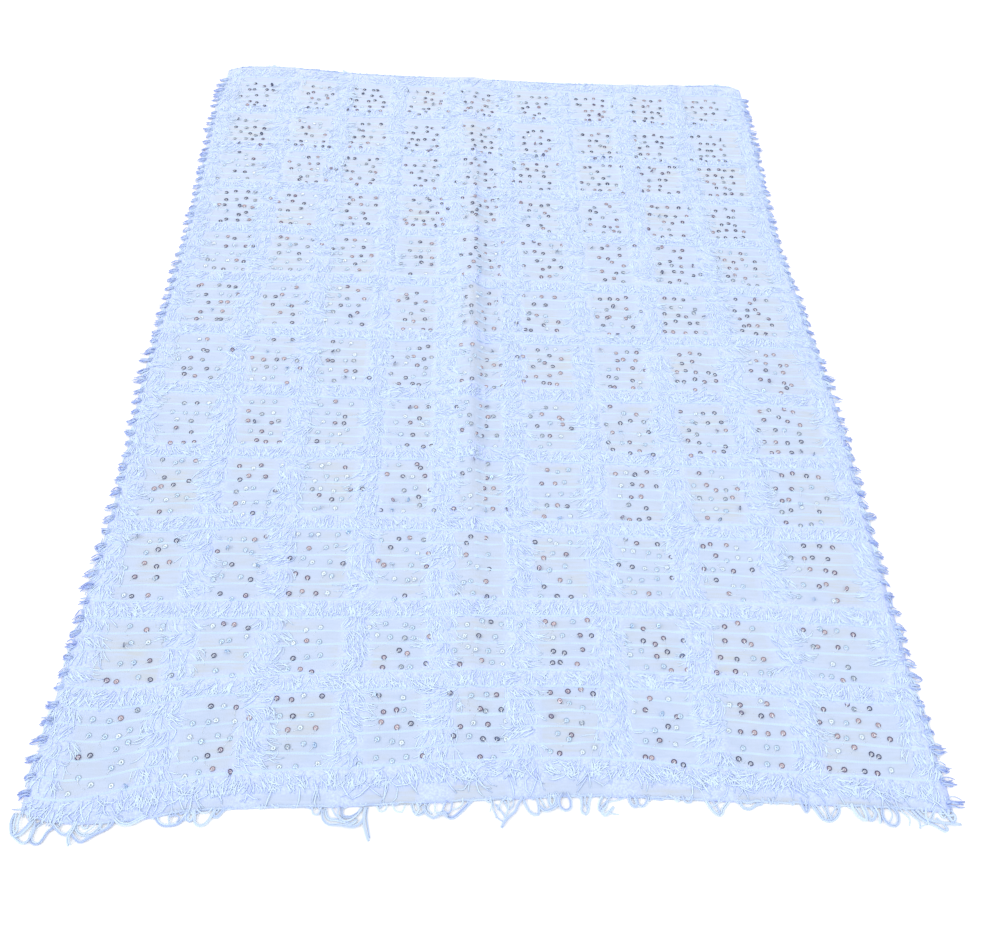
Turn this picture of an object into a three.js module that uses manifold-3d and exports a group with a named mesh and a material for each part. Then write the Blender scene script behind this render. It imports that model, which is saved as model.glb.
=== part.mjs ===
// A handira, the wedding blanket of the Atlas mountains, lying flat on a floor.
// The cloth is one woven piece: a bare ribbed ground, with loops of pile pulled up out of the rib
// yarns in columns along it and in bands across it. Tufts of the pile stand out past both sides,
// and loops of warp hang out of the two ends.
// Millimetres, +Z up. "Across" runs from the left side to the right one, along +X, and "down" runs
// from the top end of the cloth to its bottom end, along -Y.
import * as THREE from 'three';
import { mergeVertices } from 'three/addons/utils/BufferGeometryUtils.js';
import Module from 'manifold-3d';

const wasm = await Module();
wasm.setup();

// Driving sizes
const CLOTH_WIDE = 1500;       // from side to side
const CLOTH_LONG = 2100;       // from end to end, without the fringe
const GROUND = 3.2;            // thickness of the bare woven ground
const RIB_HIGH = 1.4;          // how far a rib of thick cotton stands above the ground
const PILE_HIGH = 6.4;         // how far the lying pile stands above the ground
const PILE_UNEVEN = 2.4;       // how much one tuft may differ from the next in height
const SELVAGE_HIGH = 2;        // pile left above the ground at the cut sides and the top end
const BARE_STRIPS = 5;         // bare strips of ground between two bands, with a rib at each edge
const WANDER = 3;              // how far a band strays up and down as it crosses the cloth
const ROOT_STRIP = 7;          // width of the edge strip that the fringe is rooted in
const STRIP_HIGH = 3.4;        // height of that strip
const SEAM = 0.4;              // gap between an edge strip and the cloth
const EDGE_FADE = 260;         // how far in from an edge the edge's own waviness dies out
const MIDDLE_ACROSS = 757;     // middle of the blanket, fringe and all, which is put at X = 0
const MIDDLE_DOWN = 1070;      // the same along the blanket, put at Y = 0

// Columns of pile along the cloth, from the left: the middle of each and its width
const COLUMNS = [
  { across: 24, wide: 42 },
  { across: 192, wide: 44 },
  { across: 347, wide: 42 },
  { across: 500, wide: 38 },
  { across: 652, wide: 44 },
  { across: 797, wide: 40 },
  { across: 955, wide: 42 },
  { across: 1120, wide: 44 },
  { across: 1285, wide: 42 },
  { across: 1476, wide: 42 },
];

// Bands of pile across the cloth, from the top end: the middle of each, its width, how much lower
// than its middle its left end lies, and how far the two sides of the cloth lie from a straight
// rectangle there, positive to the right
const BANDS = [
  { down: 30, wide: 44, leftSag: 0, left: 12, right: -18 },
  { down: 208, wide: 36, leftSag: 0, left: 3, right: -17 },
  { down: 370, wide: 34, leftSag: 3, left: 7, right: -21 },
  { down: 535, wide: 34, leftSag: 0, left: 11, right: -26 },
  { down: 695, wide: 32, leftSag: -4, left: 15, right: -29 },
  { down: 870, wide: 36, leftSag: 0, left: 12, right: -17 },
  { down: 1040, wide: 36, leftSag: 0, left: 8, right: -7 },
  { down: 1208, wide: 36, leftSag: 4, left: 5, right: 2 },
  { down: 1380, wide: 34, leftSag: 0, left: 12, right: 3 },
  { down: 1543, wide: 36, leftSag: 6, left: 14, right: 2 },
  { down: 1728, wide: 34, leftSag: 8, left: 9, right: 1 },
  { down: 1884, wide: 36, leftSag: 18, left: 5, right: 2 },
  { down: 2052, wide: 36, leftSag: 10, left: -3, right: 8 },
];

// How far each end edge lies from a straight rectangle, positive down
const END_WAVE = [
  { across: 0, top: 14, bottom: -2 },
  { across: 34, top: -6, bottom: 12 },
  { across: 80, top: -12, bottom: 18 },
  { across: 150, top: -15, bottom: 16 },
  { across: 250, top: -10, bottom: 0 },
  { across: 350, top: 0, bottom: -7 },
  { across: 500, top: 5, bottom: -10 },
  { across: 700, top: 5, bottom: -20 },
  { across: 900, top: 10, bottom: -28 },
  { across: 1100, top: 8, bottom: -22 },
  { across: 1300, top: 0, bottom: -15 },
  { across: 1450, top: -8, bottom: -7 },
  { across: 1476, top: -4, bottom: -5 },
  { across: 1500, top: 12, bottom: -5 },
];

// The fold that runs down the middle: a gentle left flank, a crest, and a steep right flank
const RIDGE_LINES = [
  { across: 630, share: 0 },
  { across: 674, share: 0.5 },
  { across: 708, share: 1 },
  { across: 727, share: 0.45 },
  { across: 748, share: 0 },
];
const RIDGE_HEIGHTS = [
  { down: 0, high: 6 },
  { down: 370, high: 9 },
  { down: 695, high: 16 },
  { down: 1040, high: 20 },
  { down: 1380, high: 16 },
  { down: 1543, high: 8 },
  { down: 1884, high: 5 },
  { down: 2052, high: 0 },
];

// Soft swells in the rest of the cloth: where the middle of each lies, how far it reaches each way
// across and down, and its height
const SWELLS = [
  { across: 1275, down: 1180, reachAcross: 110, reachDown: 330, high: 9 },
  { across: 1380, down: 1020, reachAcross: 120, reachDown: 240, high: 5 },
  { across: 1285, down: 120, reachAcross: 120, reachDown: 220, high: 5 },
  { across: 860, down: 1890, reachAcross: 120, reachDown: 180, high: 5 },
  { across: 192, down: 1380, reachAcross: 130, reachDown: 330, high: 3 },
];

// Stretches of a side where the tufts stand out further than elsewhere, and by how much
const LONG_TUFTS = [
  { side: 'left', from: 20, to: 190, extra: 8 },
  { side: 'left', from: 255, to: 315, extra: 7 },
  { side: 'left', from: 1095, to: 1195, extra: 9 },
  { side: 'left', from: 1660, to: 1705, extra: 9 },
  { side: 'left', from: 1980, to: 2035, extra: 10 },
  { side: 'right', from: 30, to: 60, extra: 8 },
  { side: 'right', from: 165, to: 305, extra: 7 },
  { side: 'right', from: 1110, to: 1215, extra: 8 },
  { side: 'right', from: 1505, to: 1535, extra: 8 },
  { side: 'right', from: 1725, to: 1760, extra: 8 },
  { side: 'right', from: 1825, to: 1860, extra: 8 },
  { side: 'right', from: 1990, to: 2085, extra: 10 },
];

// Clusters of warp loops along the bottom end: where each starts and ends, how many loops it has,
// and how far below the edge it reaches
const END_LOOPS = [
  { from: 6, to: 44, loops: 3, reach: 40 },
  { from: 66, to: 150, loops: 5, reach: 30 },
  { from: 207, to: 299, loops: 5, reach: 22 },
  { from: 471, to: 546, loops: 4, reach: 27 },
  { from: 609, to: 695, loops: 5, reach: 18 },
  { from: 737, to: 789, loops: 3, reach: 34 },
  { from: 795, to: 872, loops: 4, reach: 20 },
  { from: 886, to: 902, loops: 1, reach: 22 },
  { from: 918, to: 950, loops: 2, reach: 26 },
  { from: 967, to: 999, loops: 2, reach: 14 },
  { from: 1093, to: 1139, loops: 3, reach: 24 },
  { from: 1151, to: 1185, loops: 2, reach: 12 },
  { from: 1254, to: 1317, loops: 3, reach: 26 },
  { from: 1334, to: 1415, loops: 4, reach: 24 },
  { from: 1424, to: 1494, loops: 4, reach: 32 },
];

// Loose ends of warp at the bottom end: where each leaves the edge, how far down it reaches, and
// how far to the right its tip lies
const LOOSE_ENDS = [
  { across: 2, reach: 46, drift: -14 },
  { across: 58, reach: 30, drift: -6 },
  { across: 156, reach: 36, drift: 8 },
  { across: 303, reach: 20, drift: 6 },
  { across: 550, reach: 54, drift: 4 },
  { across: 792, reach: 30, drift: -3 },
  { across: 908, reach: 20, drift: 4 },
  { across: 1322, reach: 20, drift: -5 },
  { across: 1498, reach: 30, drift: 14 },
];

// Stretches of the top end where tufts of the first band stand out past it
const TOP_TUFTS = [
  { from: 115, to: 140, tufts: 3, reach: 12 },
  { from: 330, to: 350, tufts: 2, reach: 14 },
  { from: 690, to: 735, tufts: 4, reach: 9 },
  { from: 1000, to: 1080, tufts: 4, reach: 8 },
  { from: 1180, to: 1200, tufts: 2, reach: 7 },
  { from: 1424, to: 1438, tufts: 2, reach: 14 },
];

// An even spread of numbers between -1 and 1 that is the same every time for the same two counts
function uneven(first, second) {
  const wave = Math.sin(first * 127.1 + second * 311.7) * 43758.5453;
  return 2 * (wave - Math.floor(wave)) - 1;
}

// Reads a column of a table at any place between its rows, in straight steps from row to row
function between(rows, place, where, column) {
  const after = rows.findIndex((row) => row[place] > where);
  if (after === 0) return rows[0][column];
  if (after < 0) return rows[rows.length - 1][column];
  const low = rows[after - 1];
  const high = rows[after];
  const share = (where - low[place]) / (high[place] - low[place]);
  return low[column] + (high[column] - low[column]) * share;
}

const fade = (distance) => Math.max(0, 1 - Math.max(0, distance) / EDGE_FADE);

// Puts a place on the straight rectangle where it lies on the wavy cloth
function onFloor(across, down) {
  const x = across
    + between(BANDS, 'down', down, 'left') * fade(across)
    + between(BANDS, 'down', down, 'right') * fade(CLOTH_WIDE - across);
  const y = down
    + between(END_WAVE, 'across', across, 'top') * fade(down)
    + between(END_WAVE, 'across', across, 'bottom') * fade(CLOTH_LONG - down);
  return { x, y: -y };
}

// How far the folds lift the cloth off the floor
function foldLift(across, down) {
  const share = between(RIDGE_LINES, 'across', across, 'share');
  let lift = share * between(RIDGE_HEIGHTS, 'down', down, 'high');
  for (const swell of SWELLS) {
    const byAcross = 1 - ((across - swell.across) / swell.reachAcross) ** 2;
    const byDown = 1 - ((down - swell.down) / swell.reachDown) ** 2;
    lift += swell.high * Math.max(0, byAcross) * Math.max(0, byDown);
  }
  return lift;
}

// The crosswise stations from the top end to the bottom end. A band has its crest and its two edge
// ribs, and the bare strips between two bands have their middles and the ribs that part them.
function makeStations() {
  const stations = [{ kind: 'end', band: 0, share: 0 }];
  BANDS.forEach((band, index) => {
    stations.push({ kind: 'band', band: index, share: 0 });
    if (index === BANDS.length - 1) return;
    for (let strip = 0; strip < BARE_STRIPS; strip += 1) {
      stations.push({ kind: 'rib', band: index, share: strip / BARE_STRIPS });
      stations.push({ kind: 'bare', band: index, share: (strip + 0.5) / BARE_STRIPS });
    }
    stations.push({ kind: 'rib', band: index, share: 1 });
  });
  const last = BANDS.length - 1;
  stations.push({ kind: 'rib', band: last, share: 0 });
  stations.push({ kind: 'end', band: last, share: 1 });
  return stations.map((station, order) => ({ ...station, order }));
}

// How far down a band's middle lies at one place across the cloth
function bandDown(index, across) {
  const band = BANDS[index];
  const leftShare = Math.max(0, 1 - across / (CLOTH_WIDE / 2));
  const stray = WANDER * Math.sin(across / 190 + index * 1.7);
  return band.down + stray + band.leftSag * leftShare;
}

const CLOTH_START = ROOT_STRIP + SEAM;
const CLOTH_END = CLOTH_LONG - CLOTH_START;

// How far down a station lies at one place across the cloth
function stationDown(station, across) {
  const { kind, band, share } = station;
  if (kind === 'end') return share === 0 ? CLOTH_START : CLOTH_END;
  const middle = bandDown(band, across);
  if (kind === 'band') return middle;
  const upper = middle + BANDS[band].wide / 2;
  if (band === BANDS.length - 1) return upper;
  const lower = bandDown(band + 1, across) - BANDS[band + 1].wide / 2;
  return upper + (lower - upper) * share;
}

// The lengthwise lines from the left side to the right one: the two edges, the crest of each
// column and its feet, and the lines of the middle fold
function makeLines() {
  const lines = [
    { kind: 'edge', across: CLOTH_START },
    { kind: 'edge', across: CLOTH_WIDE - CLOTH_START },
  ];
  COLUMNS.forEach((column, index) => {
    lines.push({ kind: 'crest', across: column.across });
    if (index > 0) lines.push({ kind: 'foot', across: column.across - column.wide / 2 });
    if (index < COLUMNS.length - 1) lines.push({ kind: 'foot', across: column.across + column.wide / 2 });
  });
  for (const flank of RIDGE_LINES.slice(2)) lines.push({ kind: 'foot', across: flank.across });
  return lines.sort((one, other) => one.across - other.across);
}

const STATIONS = makeStations();
const LINES = makeLines();
const STATION_KINDS = {
  edge: ['end', 'band'],
  crest: ['end', 'band', 'bare'],
  foot: ['end', 'band', 'bare', 'rib'],
};

// Height of the woven face above the underside
function thickness(line, lineNumber, station) {
  const tuft = PILE_UNEVEN * 0.5 * uneven(lineNumber, station.order);
  if (line.kind === 'edge') return GROUND + SELVAGE_HIGH;
  if (station.kind === 'end') return station.share === 0 ? GROUND + SELVAGE_HIGH : GROUND;
  if (line.kind === 'crest' || station.kind === 'band') return GROUND + PILE_HIGH + tuft;
  return station.kind === 'rib' ? GROUND + RIB_HIGH : GROUND;
}

// Lift of one line at a station: worked out at the bands and the ends, in straight steps between
function liftAt(line, station) {
  const bandRows = STATIONS
    .filter((row) => row.kind !== 'rib' && row.kind !== 'bare')
    .map((row) => ({ down: stationDown(row, line.across), order: row.order }))
    .map((row) => ({ ...row, lift: foldLift(line.across, row.down) }));
  return between(bandRows, 'down', stationDown(station, line.across), 'lift');
}

// Joins two neighbouring lines of points by faces, whether or not their points pair up
function zip(left, right, faces, facingUp) {
  const add = (a, b, c) => faces.push(...(facingUp ? [a, b, c] : [a, c, b]));
  let l = 0;
  let r = 0;
  while (l < left.length - 1 || r < right.length - 1) {
    const leftDone = l === left.length - 1;
    const rightDone = r === right.length - 1;
    const stepLeft = rightDone || (!leftDone && left[l + 1].order <= right[r + 1].order);
    if (stepLeft) {
      add(left[l].point, left[l + 1].point, right[r].point);
      l += 1;
    } else {
      add(left[l].point, right[r + 1].point, right[r].point);
      r += 1;
    }
  }
}

// The cloth itself, as one closed sheet: its woven face, its underside and the edge between them
function clothGeometry() {
  const points = [];
  const faces = [];
  const addPoint = (x, y, z) => points.push(x, y, z) / 3 - 1;
  const upper = [];
  const under = [];
  LINES.forEach((line, lineNumber) => {
    const lineTop = [];
    const lineUnder = [];
    for (const station of STATIONS) {
      if (!STATION_KINDS[line.kind].includes(station.kind)) continue;
      const down = stationDown(station, line.across);
      const { x, y } = onFloor(line.across, down);
      const lift = liftAt(line, station);
      const high = lift + thickness(line, lineNumber, station);
      lineTop.push({ order: station.order, point: addPoint(x, y, high) });
      if (STATION_KINDS.edge.includes(station.kind)) {
        lineUnder.push({ order: station.order, point: addPoint(x, y, lift) });
      }
    }
    upper.push(lineTop);
    under.push(lineUnder);
  });
  for (let number = 1; number < LINES.length; number += 1) {
    zip(upper[number - 1], upper[number], faces, true);
    zip(under[number - 1], under[number], faces, false);
  }
  const wall = (topRow, underRow, turned) => zip(topRow, underRow, faces, turned);
  const across = (rows, pick) => rows.map((row, order) => ({ order, point: pick(row).point }));
  const first = (row) => row[0];
  const last = (row) => row[row.length - 1];
  wall(upper[0], under[0], false);
  wall(last(upper), last(under), true);
  wall(across(upper, first), across(under, first), true);
  wall(across(upper, last), across(under, last), false);
  const geometry = new THREE.BufferGeometry();
  geometry.setAttribute('position', new THREE.Float32BufferAttribute(points, 3));
  geometry.setIndex(faces);
  return geometry;
}

// A closed mesh as a solid that can be joined to others
function solidOf(geometry) {
  const bare = geometry.clone();
  bare.deleteAttribute('normal');
  bare.deleteAttribute('uv');
  const merged = mergeVertices(bare, 1e-4);
  return new wasm.Manifold(new wasm.Mesh({
    numProp: 3,
    vertProperties: new Float32Array(merged.attributes.position.array),
    triVerts: new Uint32Array(merged.index.array),
  }));
}

function geometryOf(solid) {
  const mesh = solid.getMesh();
  const geometry = new THREE.BufferGeometry();
  geometry.setAttribute('position', new THREE.Float32BufferAttribute(mesh.vertProperties, 3));
  geometry.setIndex(Array.from(mesh.triVerts));
  return geometry;
}

// A flat strip of cloth edge between two lines of floor points
function stripSolid(inner, outer) {
  const shape = new THREE.Shape([...inner, ...outer.slice().reverse()]
    .map(({ x, y }) => new THREE.Vector2(x, y)));
  return solidOf(new THREE.ExtrudeGeometry(shape, { depth: STRIP_HIGH, bevelEnabled: false }));
}

// A strand that lies on the floor along a path of points, three-sided with its flat side down.
// Each point of the path has its half width and its height there, and may say which way it faces.
function strandSolid(path) {
  const points = [];
  const faces = [];
  path.forEach((here, index) => {
    const before = path[Math.max(0, index - 1)];
    const after = path[Math.min(path.length - 1, index + 1)];
    const along = here.along ?? { x: after.x - before.x, y: after.y - before.y };
    const length = Math.hypot(along.x, along.y);
    const sideX = (-along.y / length) * here.half;
    const sideY = (along.x / length) * here.half;
    points.push(here.x + sideX, here.y + sideY, 0);
    points.push(here.x - sideX, here.y - sideY, 0);
    points.push(here.x, here.y, here.high);
  });
  for (let ring = 0; ring < path.length - 1; ring += 1) {
    for (let corner = 0; corner < 3; corner += 1) {
      const a = ring * 3 + corner;
      const b = ring * 3 + (corner + 1) % 3;
      faces.push(a, a + 3, b, b, a + 3, b + 3);
    }
  }
  const tip = (path.length - 1) * 3;
  faces.push(0, 1, 2, tip, tip + 2, tip + 1);
  const geometry = new THREE.BufferGeometry();
  geometry.setAttribute('position', new THREE.Float32BufferAttribute(points, 3));
  geometry.setIndex(faces);
  return solidOf(geometry);
}

// A lock of pile: broad where it is rooted in the strip, and narrow at its tip
function lockSolid(root, tip, half, along) {
  return strandSolid([
    { ...root, along, half, high: STRIP_HIGH - 0.4 },
    { ...tip, along, half: half * 0.28, high: 1.4 },
  ]);
}

const STRAND_HALF = 1.5;       // half the thickness of a lying warp strand
const STRAND_HIGH = 2.6;       // its height off the floor
const ROOT_DEEP = 4;           // how far into the strip a strand is rooted

// A loop of warp that leaves the bottom edge, swings down and comes back
function loopSolid(from, to, reach) {
  const steps = 4;
  const path = [];
  for (let step = 0; step <= steps; step += 1) {
    const turn = (Math.PI * step) / steps;
    const across = (from + to) / 2 - Math.cos(turn) * ((to - from) / 2 - STRAND_HALF);
    const down = CLOTH_LONG - ROOT_DEEP + Math.sin(turn) * (reach + ROOT_DEEP - STRAND_HALF);
    path.push({ ...onFloor(across, down), half: STRAND_HALF, high: STRAND_HIGH });
  }
  return strandSolid(path);
}

// Which lines and stations the edge strips share with the cloth beside them
const endAcross = [0, ...LINES.map((line) => line.across), CLOTH_WIDE];
const sideStations = STATIONS.filter((station) => STATION_KINDS.edge.includes(station.kind));

function sideFringe(side) {
  const outward = side === 'left' ? -1 : 1;
  const edge = side === 'left' ? 0 : CLOTH_WIDE;
  const line = side === 'left' ? LINES[0] : LINES[LINES.length - 1];
  const downs = sideStations.map((station) => stationDown(station, line.across));
  const inner = downs.map((down) => onFloor(edge - outward * ROOT_STRIP, down));
  const outer = downs.map((down) => onFloor(edge, down));
  let fringe = stripSolid(inner, outer);
  for (const station of STATIONS.filter((row) => row.kind === 'rib')) {
    const down = stationDown(station, edge);
    const zone = LONG_TUFTS.find((row) => row.side === side && down >= row.from && down <= row.to);
    const chance = uneven(station.order, outward * 7);
    const reach = 13 + 4 * chance + (zone ? zone.extra : 0);
    const slant = 5 + 5 * uneven(station.order, outward * 13);
    const root = onFloor(edge - outward * ROOT_DEEP, down);
    const tip = onFloor(edge, down + slant);
    tip.x += outward * reach;
    fringe = fringe.add(lockSolid(root, tip, 6.5 + 1.5 * chance, { x: outward, y: 0 }));
  }
  return geometryOf(fringe);
}

function bottomFringe() {
  const inner = endAcross.map((across) => onFloor(across, CLOTH_LONG - ROOT_STRIP));
  const outer = endAcross.map((across) => onFloor(across, CLOTH_LONG));
  let fringe = stripSolid(inner, outer);
  END_LOOPS.forEach(({ from, to, loops, reach }, cluster) => {
    const pitch = (to - from) / loops;
    for (let loop = 0; loop < loops; loop += 1) {
      const start = from + pitch * loop + 0.6;
      const deep = reach * (0.82 + 0.18 * uneven(cluster, loop));
      fringe = fringe.add(loopSolid(start, start + pitch - 1.2, deep));
    }
  });
  for (const { across, reach, drift } of LOOSE_ENDS) {
    const held = Math.min(CLOTH_WIDE - 3, Math.max(3, across));
    const strand = { half: STRAND_HALF, high: STRAND_HIGH };
    const root = { ...onFloor(held, CLOTH_LONG - ROOT_DEEP), ...strand };
    const bend = { ...onFloor(held + drift * 0.3, CLOTH_LONG), ...strand };
    bend.y -= reach * 0.5;
    const tip = { ...onFloor(held + drift, CLOTH_LONG), ...strand };
    tip.y -= reach;
    fringe = fringe.add(strandSolid([root, bend, tip]));
  }
  return geometryOf(fringe);
}

function topFringe() {
  const outer = endAcross.map((across) => onFloor(across, 0));
  const inner = endAcross.map((across) => onFloor(across, ROOT_STRIP));
  let fringe = stripSolid(outer, inner);
  TOP_TUFTS.forEach(({ from, to, tufts, reach }, cluster) => {
    for (let tuft = 0; tuft < tufts; tuft += 1) {
      const across = from + ((to - from) * (tuft + 0.5)) / tufts;
      const root = onFloor(across, ROOT_DEEP);
      const tip = onFloor(across + 4 * uneven(cluster, tuft), 0);
      tip.y += reach * (0.85 + 0.15 * uneven(tuft, cluster));
      fringe = fringe.add(lockSolid(root, tip, 3.2, { x: 0, y: 1 }));
    }
  });
  return geometryOf(fringe);
}

// The white of the wool and cotton, as it looks in the shade of a pale sky
const wool = () => new THREE.MeshStandardMaterial({ color: 0xd3e1f7, roughness: 0.95, metalness: 0 });
const cotton = () => new THREE.MeshStandardMaterial({ color: 0xdde8fb, roughness: 0.9, metalness: 0 });

const blanket = new THREE.Group();
blanket.position.set(-MIDDLE_ACROSS, MIDDLE_DOWN, 0);

function addPiece(name, geometry, material) {
  const piece = new THREE.Mesh(geometry, material);
  piece.name = name;
  blanket.add(piece);
}

addPiece('blanket_cloth', clothGeometry(), wool());
addPiece('fringe_left', sideFringe('left'), cotton());
addPiece('fringe_right', sideFringe('right'), cotton());
addPiece('fringe_bottom', bottomFringe(), cotton());
addPiece('fringe_top', topFringe(), cotton());

export default blanket;
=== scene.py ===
# %% [markdown]
# # A handira, laid out flat
#
# A handira is the wedding blanket of the Atlas mountains. It is woven in one piece of white wool
# and cotton. Thick cotton ribs cross it, and their yarn is pulled up by hand into pile: in ten
# columns along the cloth and in thirteen bands across it. In the bare blocks between them some two
# thousand small metal sequins are sewn on. Tufts of pile stand out past the two sides, and loops of
# warp hang out of the bottom end.
#
# The solids of the frame are the same blanket in a plainer form. They give way to the fine
# surfaces that are made here, which keep to the same sizes and the same folds.

# %% Load the frame
import math

import bpy
import numpy as np
from mathutils import Matrix


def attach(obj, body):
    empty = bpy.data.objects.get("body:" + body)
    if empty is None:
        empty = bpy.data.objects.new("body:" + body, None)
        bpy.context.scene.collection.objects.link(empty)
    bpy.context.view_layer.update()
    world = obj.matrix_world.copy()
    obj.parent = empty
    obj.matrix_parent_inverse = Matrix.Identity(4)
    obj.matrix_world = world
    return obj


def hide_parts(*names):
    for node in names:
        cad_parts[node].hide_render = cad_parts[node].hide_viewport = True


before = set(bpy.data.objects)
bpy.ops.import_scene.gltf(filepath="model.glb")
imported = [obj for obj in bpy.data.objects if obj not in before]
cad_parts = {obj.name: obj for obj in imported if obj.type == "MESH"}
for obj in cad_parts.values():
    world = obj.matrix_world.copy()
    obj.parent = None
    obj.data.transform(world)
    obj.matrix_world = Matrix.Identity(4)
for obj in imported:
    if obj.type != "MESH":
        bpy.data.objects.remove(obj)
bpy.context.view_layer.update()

# %% [markdown]
# ## The camera
#
# The camera looks down at the blanket from its bottom end. Its place and its lens were worked out
# from where the four corners of the cloth stand in the picture, so it is given by its position and
# the three angles that a photographer would name: how far round it stands, how high it looks down
# from, and how far it is tilted.

# %% Set up the camera
CAMERA_PLACE = (-0.0933, -1.5350, 1.6123)
CAMERA_ROUND = math.radians(-4.814)
CAMERA_HIGH = math.radians(53.285)
CAMERA_TILT = math.radians(5.036)
LENS = 35.54
SENSOR = 36.0

back = np.array([
    math.sin(CAMERA_ROUND) * math.cos(CAMERA_HIGH),
    -math.cos(CAMERA_ROUND) * math.cos(CAMERA_HIGH),
    math.sin(CAMERA_HIGH),
])
level_right = np.array([math.cos(CAMERA_ROUND), math.sin(CAMERA_ROUND), 0])
level_up = np.cross(back, level_right)
camera_right = math.cos(CAMERA_TILT) * level_right + math.sin(CAMERA_TILT) * level_up
camera_up = math.cos(CAMERA_TILT) * level_up - math.sin(CAMERA_TILT) * level_right
camera_data = bpy.data.cameras.new("camera")
camera_data.lens = LENS
camera_data.sensor_width = SENSOR
camera_data.sensor_fit = "HORIZONTAL"
camera = bpy.data.objects.new("camera", camera_data)
camera.matrix_world = Matrix([
    (camera_right[i], camera_up[i], back[i], CAMERA_PLACE[i]) for i in range(3)
] + [(0, 0, 0, 1)])
bpy.context.scene.collection.objects.link(camera)
bpy.context.scene.camera = camera
print("the camera stands", CAMERA_PLACE, "m")

# %% [markdown]
# ## One layout for everything
#
# The blanket is laid out on a straight rectangle first, in millimetres: "across" from its left side
# and "down" from its top end. Every piece below is placed in those two measures, and one function
# then puts a place where it lies on the floor. So the pile, the ribs and the sequins all follow the
# same wavy edges and the same folds, and none of them needs fitting afterwards.

# %% The sizes of the cloth
MM = 0.001
CLOTH_WIDE = 1500
CLOTH_LONG = 2100
MIDDLE_ACROSS = 757       # the middle of the blanket, fringe and all, lies at X = 0
MIDDLE_DOWN = 1070        # and at Y = 0
GROUND = 3.2              # thickness of the bare ground
MOUND = 2.8               # how far the roots of the pile lift the face
PUFF = 0.2                # how far the ground swells between two ribs
EDGE_FADE = 260           # how far in from an edge the edge's own waviness dies out
WANDER = 3                # how far a band strays as it crosses the cloth

COLUMNS = dict(
    across=[24, 192, 347, 500, 652, 797, 955, 1120, 1285, 1476],
    wide=[42, 44, 42, 38, 44, 40, 42, 44, 42, 42],
)
BANDS = dict(
    down=[30, 197, 365, 524, 686, 861, 1035, 1205, 1372, 1542, 1727, 1883, 2052],
    wide=[44, 34, 30, 32, 30, 32, 30, 34, 30, 32, 34, 33, 36],
    left=[12, 3, 7, 11, 15, 12, 8, 5, 12, 14, 9, 5, -3],
    right=[-18, -17, -21, -26, -29, -17, -7, 2, 3, 2, 1, 2, 8],
)
RIBS = [
    [76, 104, 130, 155],
    [243, 272, 298, 326],
    [402, 429, 457, 480],
    [566, 595, 620, 648],
    [733, 762, 787, 814],
    [906, 937, 963, 991],
    [1081, 1104, 1133, 1162],
    [1252, 1277, 1304, 1330],
    [1417, 1446, 1473, 1498],
    [1586, 1614, 1645, 1676],
    [1774, 1804, 1836],
    [1923, 1950, 1977, 2006],
]                         # how far down the ribs between two bands lie
STRIPS = [len(row) + 1 for row in RIBS]
SAG_ACROSS = [0, 75, 150, 250, 350, 500, 700, 900, 1100, 1300, 1450]
SAGS = {
    9: [13, 14, 10, 4, 3, 2, 0, 1, 3, 9, 12],
    10: [15, 15, 14, 10, 7, 1, -4, -6, -2, 5, 11],
    11: [21, 21, 14, 1, -6, -11, -14, -14, -8, -1, 5],
    12: [36, 29, 15, 10, 6, 3, -4, -6, 1, 10, 14],
}                         # the last four bands sag at both sides
ENDS = dict(
    across=[0, 34, 80, 150, 250, 350, 500, 700, 900, 1100, 1300, 1450, 1476, 1500],
    top=[14, -6, -12, -15, -10, 0, 5, 5, 10, 8, 0, -8, -4, 12],
    bottom=[-2, 12, 18, 16, 0, -7, -10, -20, -28, -22, -15, -7, -5, -5],
)
BAND_COUNT = len(BANDS["down"])
COLUMN_COUNT = len(COLUMNS["across"])
print(COLUMN_COUNT, "columns and", BAND_COUNT, "bands of pile")


# %% Reading a table, and the softness of cloth
def curve(places, values, at):
    """A smooth line through the rows of a table, read at any place, and level past its ends."""
    x, y = np.array(places, float), np.array(values, float)
    slope = np.gradient(y, x)
    at = np.clip(at, x[0], x[-1])
    row = np.clip(np.searchsorted(x, at) - 1, 0, len(x) - 2)
    step = x[row + 1] - x[row]
    t = (at - x[row]) / step
    from_row = (2 * t**3 - 3 * t**2 + 1) * y[row] + (t**3 - 2 * t**2 + t) * step * slope[row]
    to_row = (3 * t**2 - 2 * t**3) * y[row + 1] + (t**3 - t**2) * step * slope[row + 1]
    return from_row + to_row


def uneven(across, down, size, seed):
    """A soft unevenness between about -1 and 1, with swells about `size` millimetres apart."""
    draw = np.random.default_rng(seed)
    total = 0
    for _ in range(5):
        angle, phase = draw.uniform(0, 2 * np.pi, 2)
        pitch = size * draw.uniform(0.7, 1.4)
        run = across * math.cos(angle) + down * math.sin(angle)
        total = total + np.sin(2 * np.pi * run / pitch + phase)
    return total / 3


def fade(distance):
    return np.clip(1 - np.maximum(distance, 0) / EDGE_FADE, 0, 1)


def on_floor(across, down):
    """Where a place on the straight rectangle lies on the floor, in metres."""
    left = curve(BANDS["down"], BANDS["left"], down) * fade(across)
    right = curve(BANDS["down"], BANDS["right"], down) * fade(CLOTH_WIDE - across)
    top = curve(ENDS["across"], ENDS["top"], across) * fade(down)
    bottom = curve(ENDS["across"], ENDS["bottom"], across) * fade(CLOTH_LONG - down)
    x = (across + left + right - MIDDLE_ACROSS) * MM
    y = (MIDDLE_DOWN - down - top - bottom) * MM
    return x, y


corners = on_floor(np.array([0, CLOTH_WIDE]), np.array([0, CLOTH_LONG]))
print("the cloth runs from", [round(float(c[0]), 3) for c in corners], "m")

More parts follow.
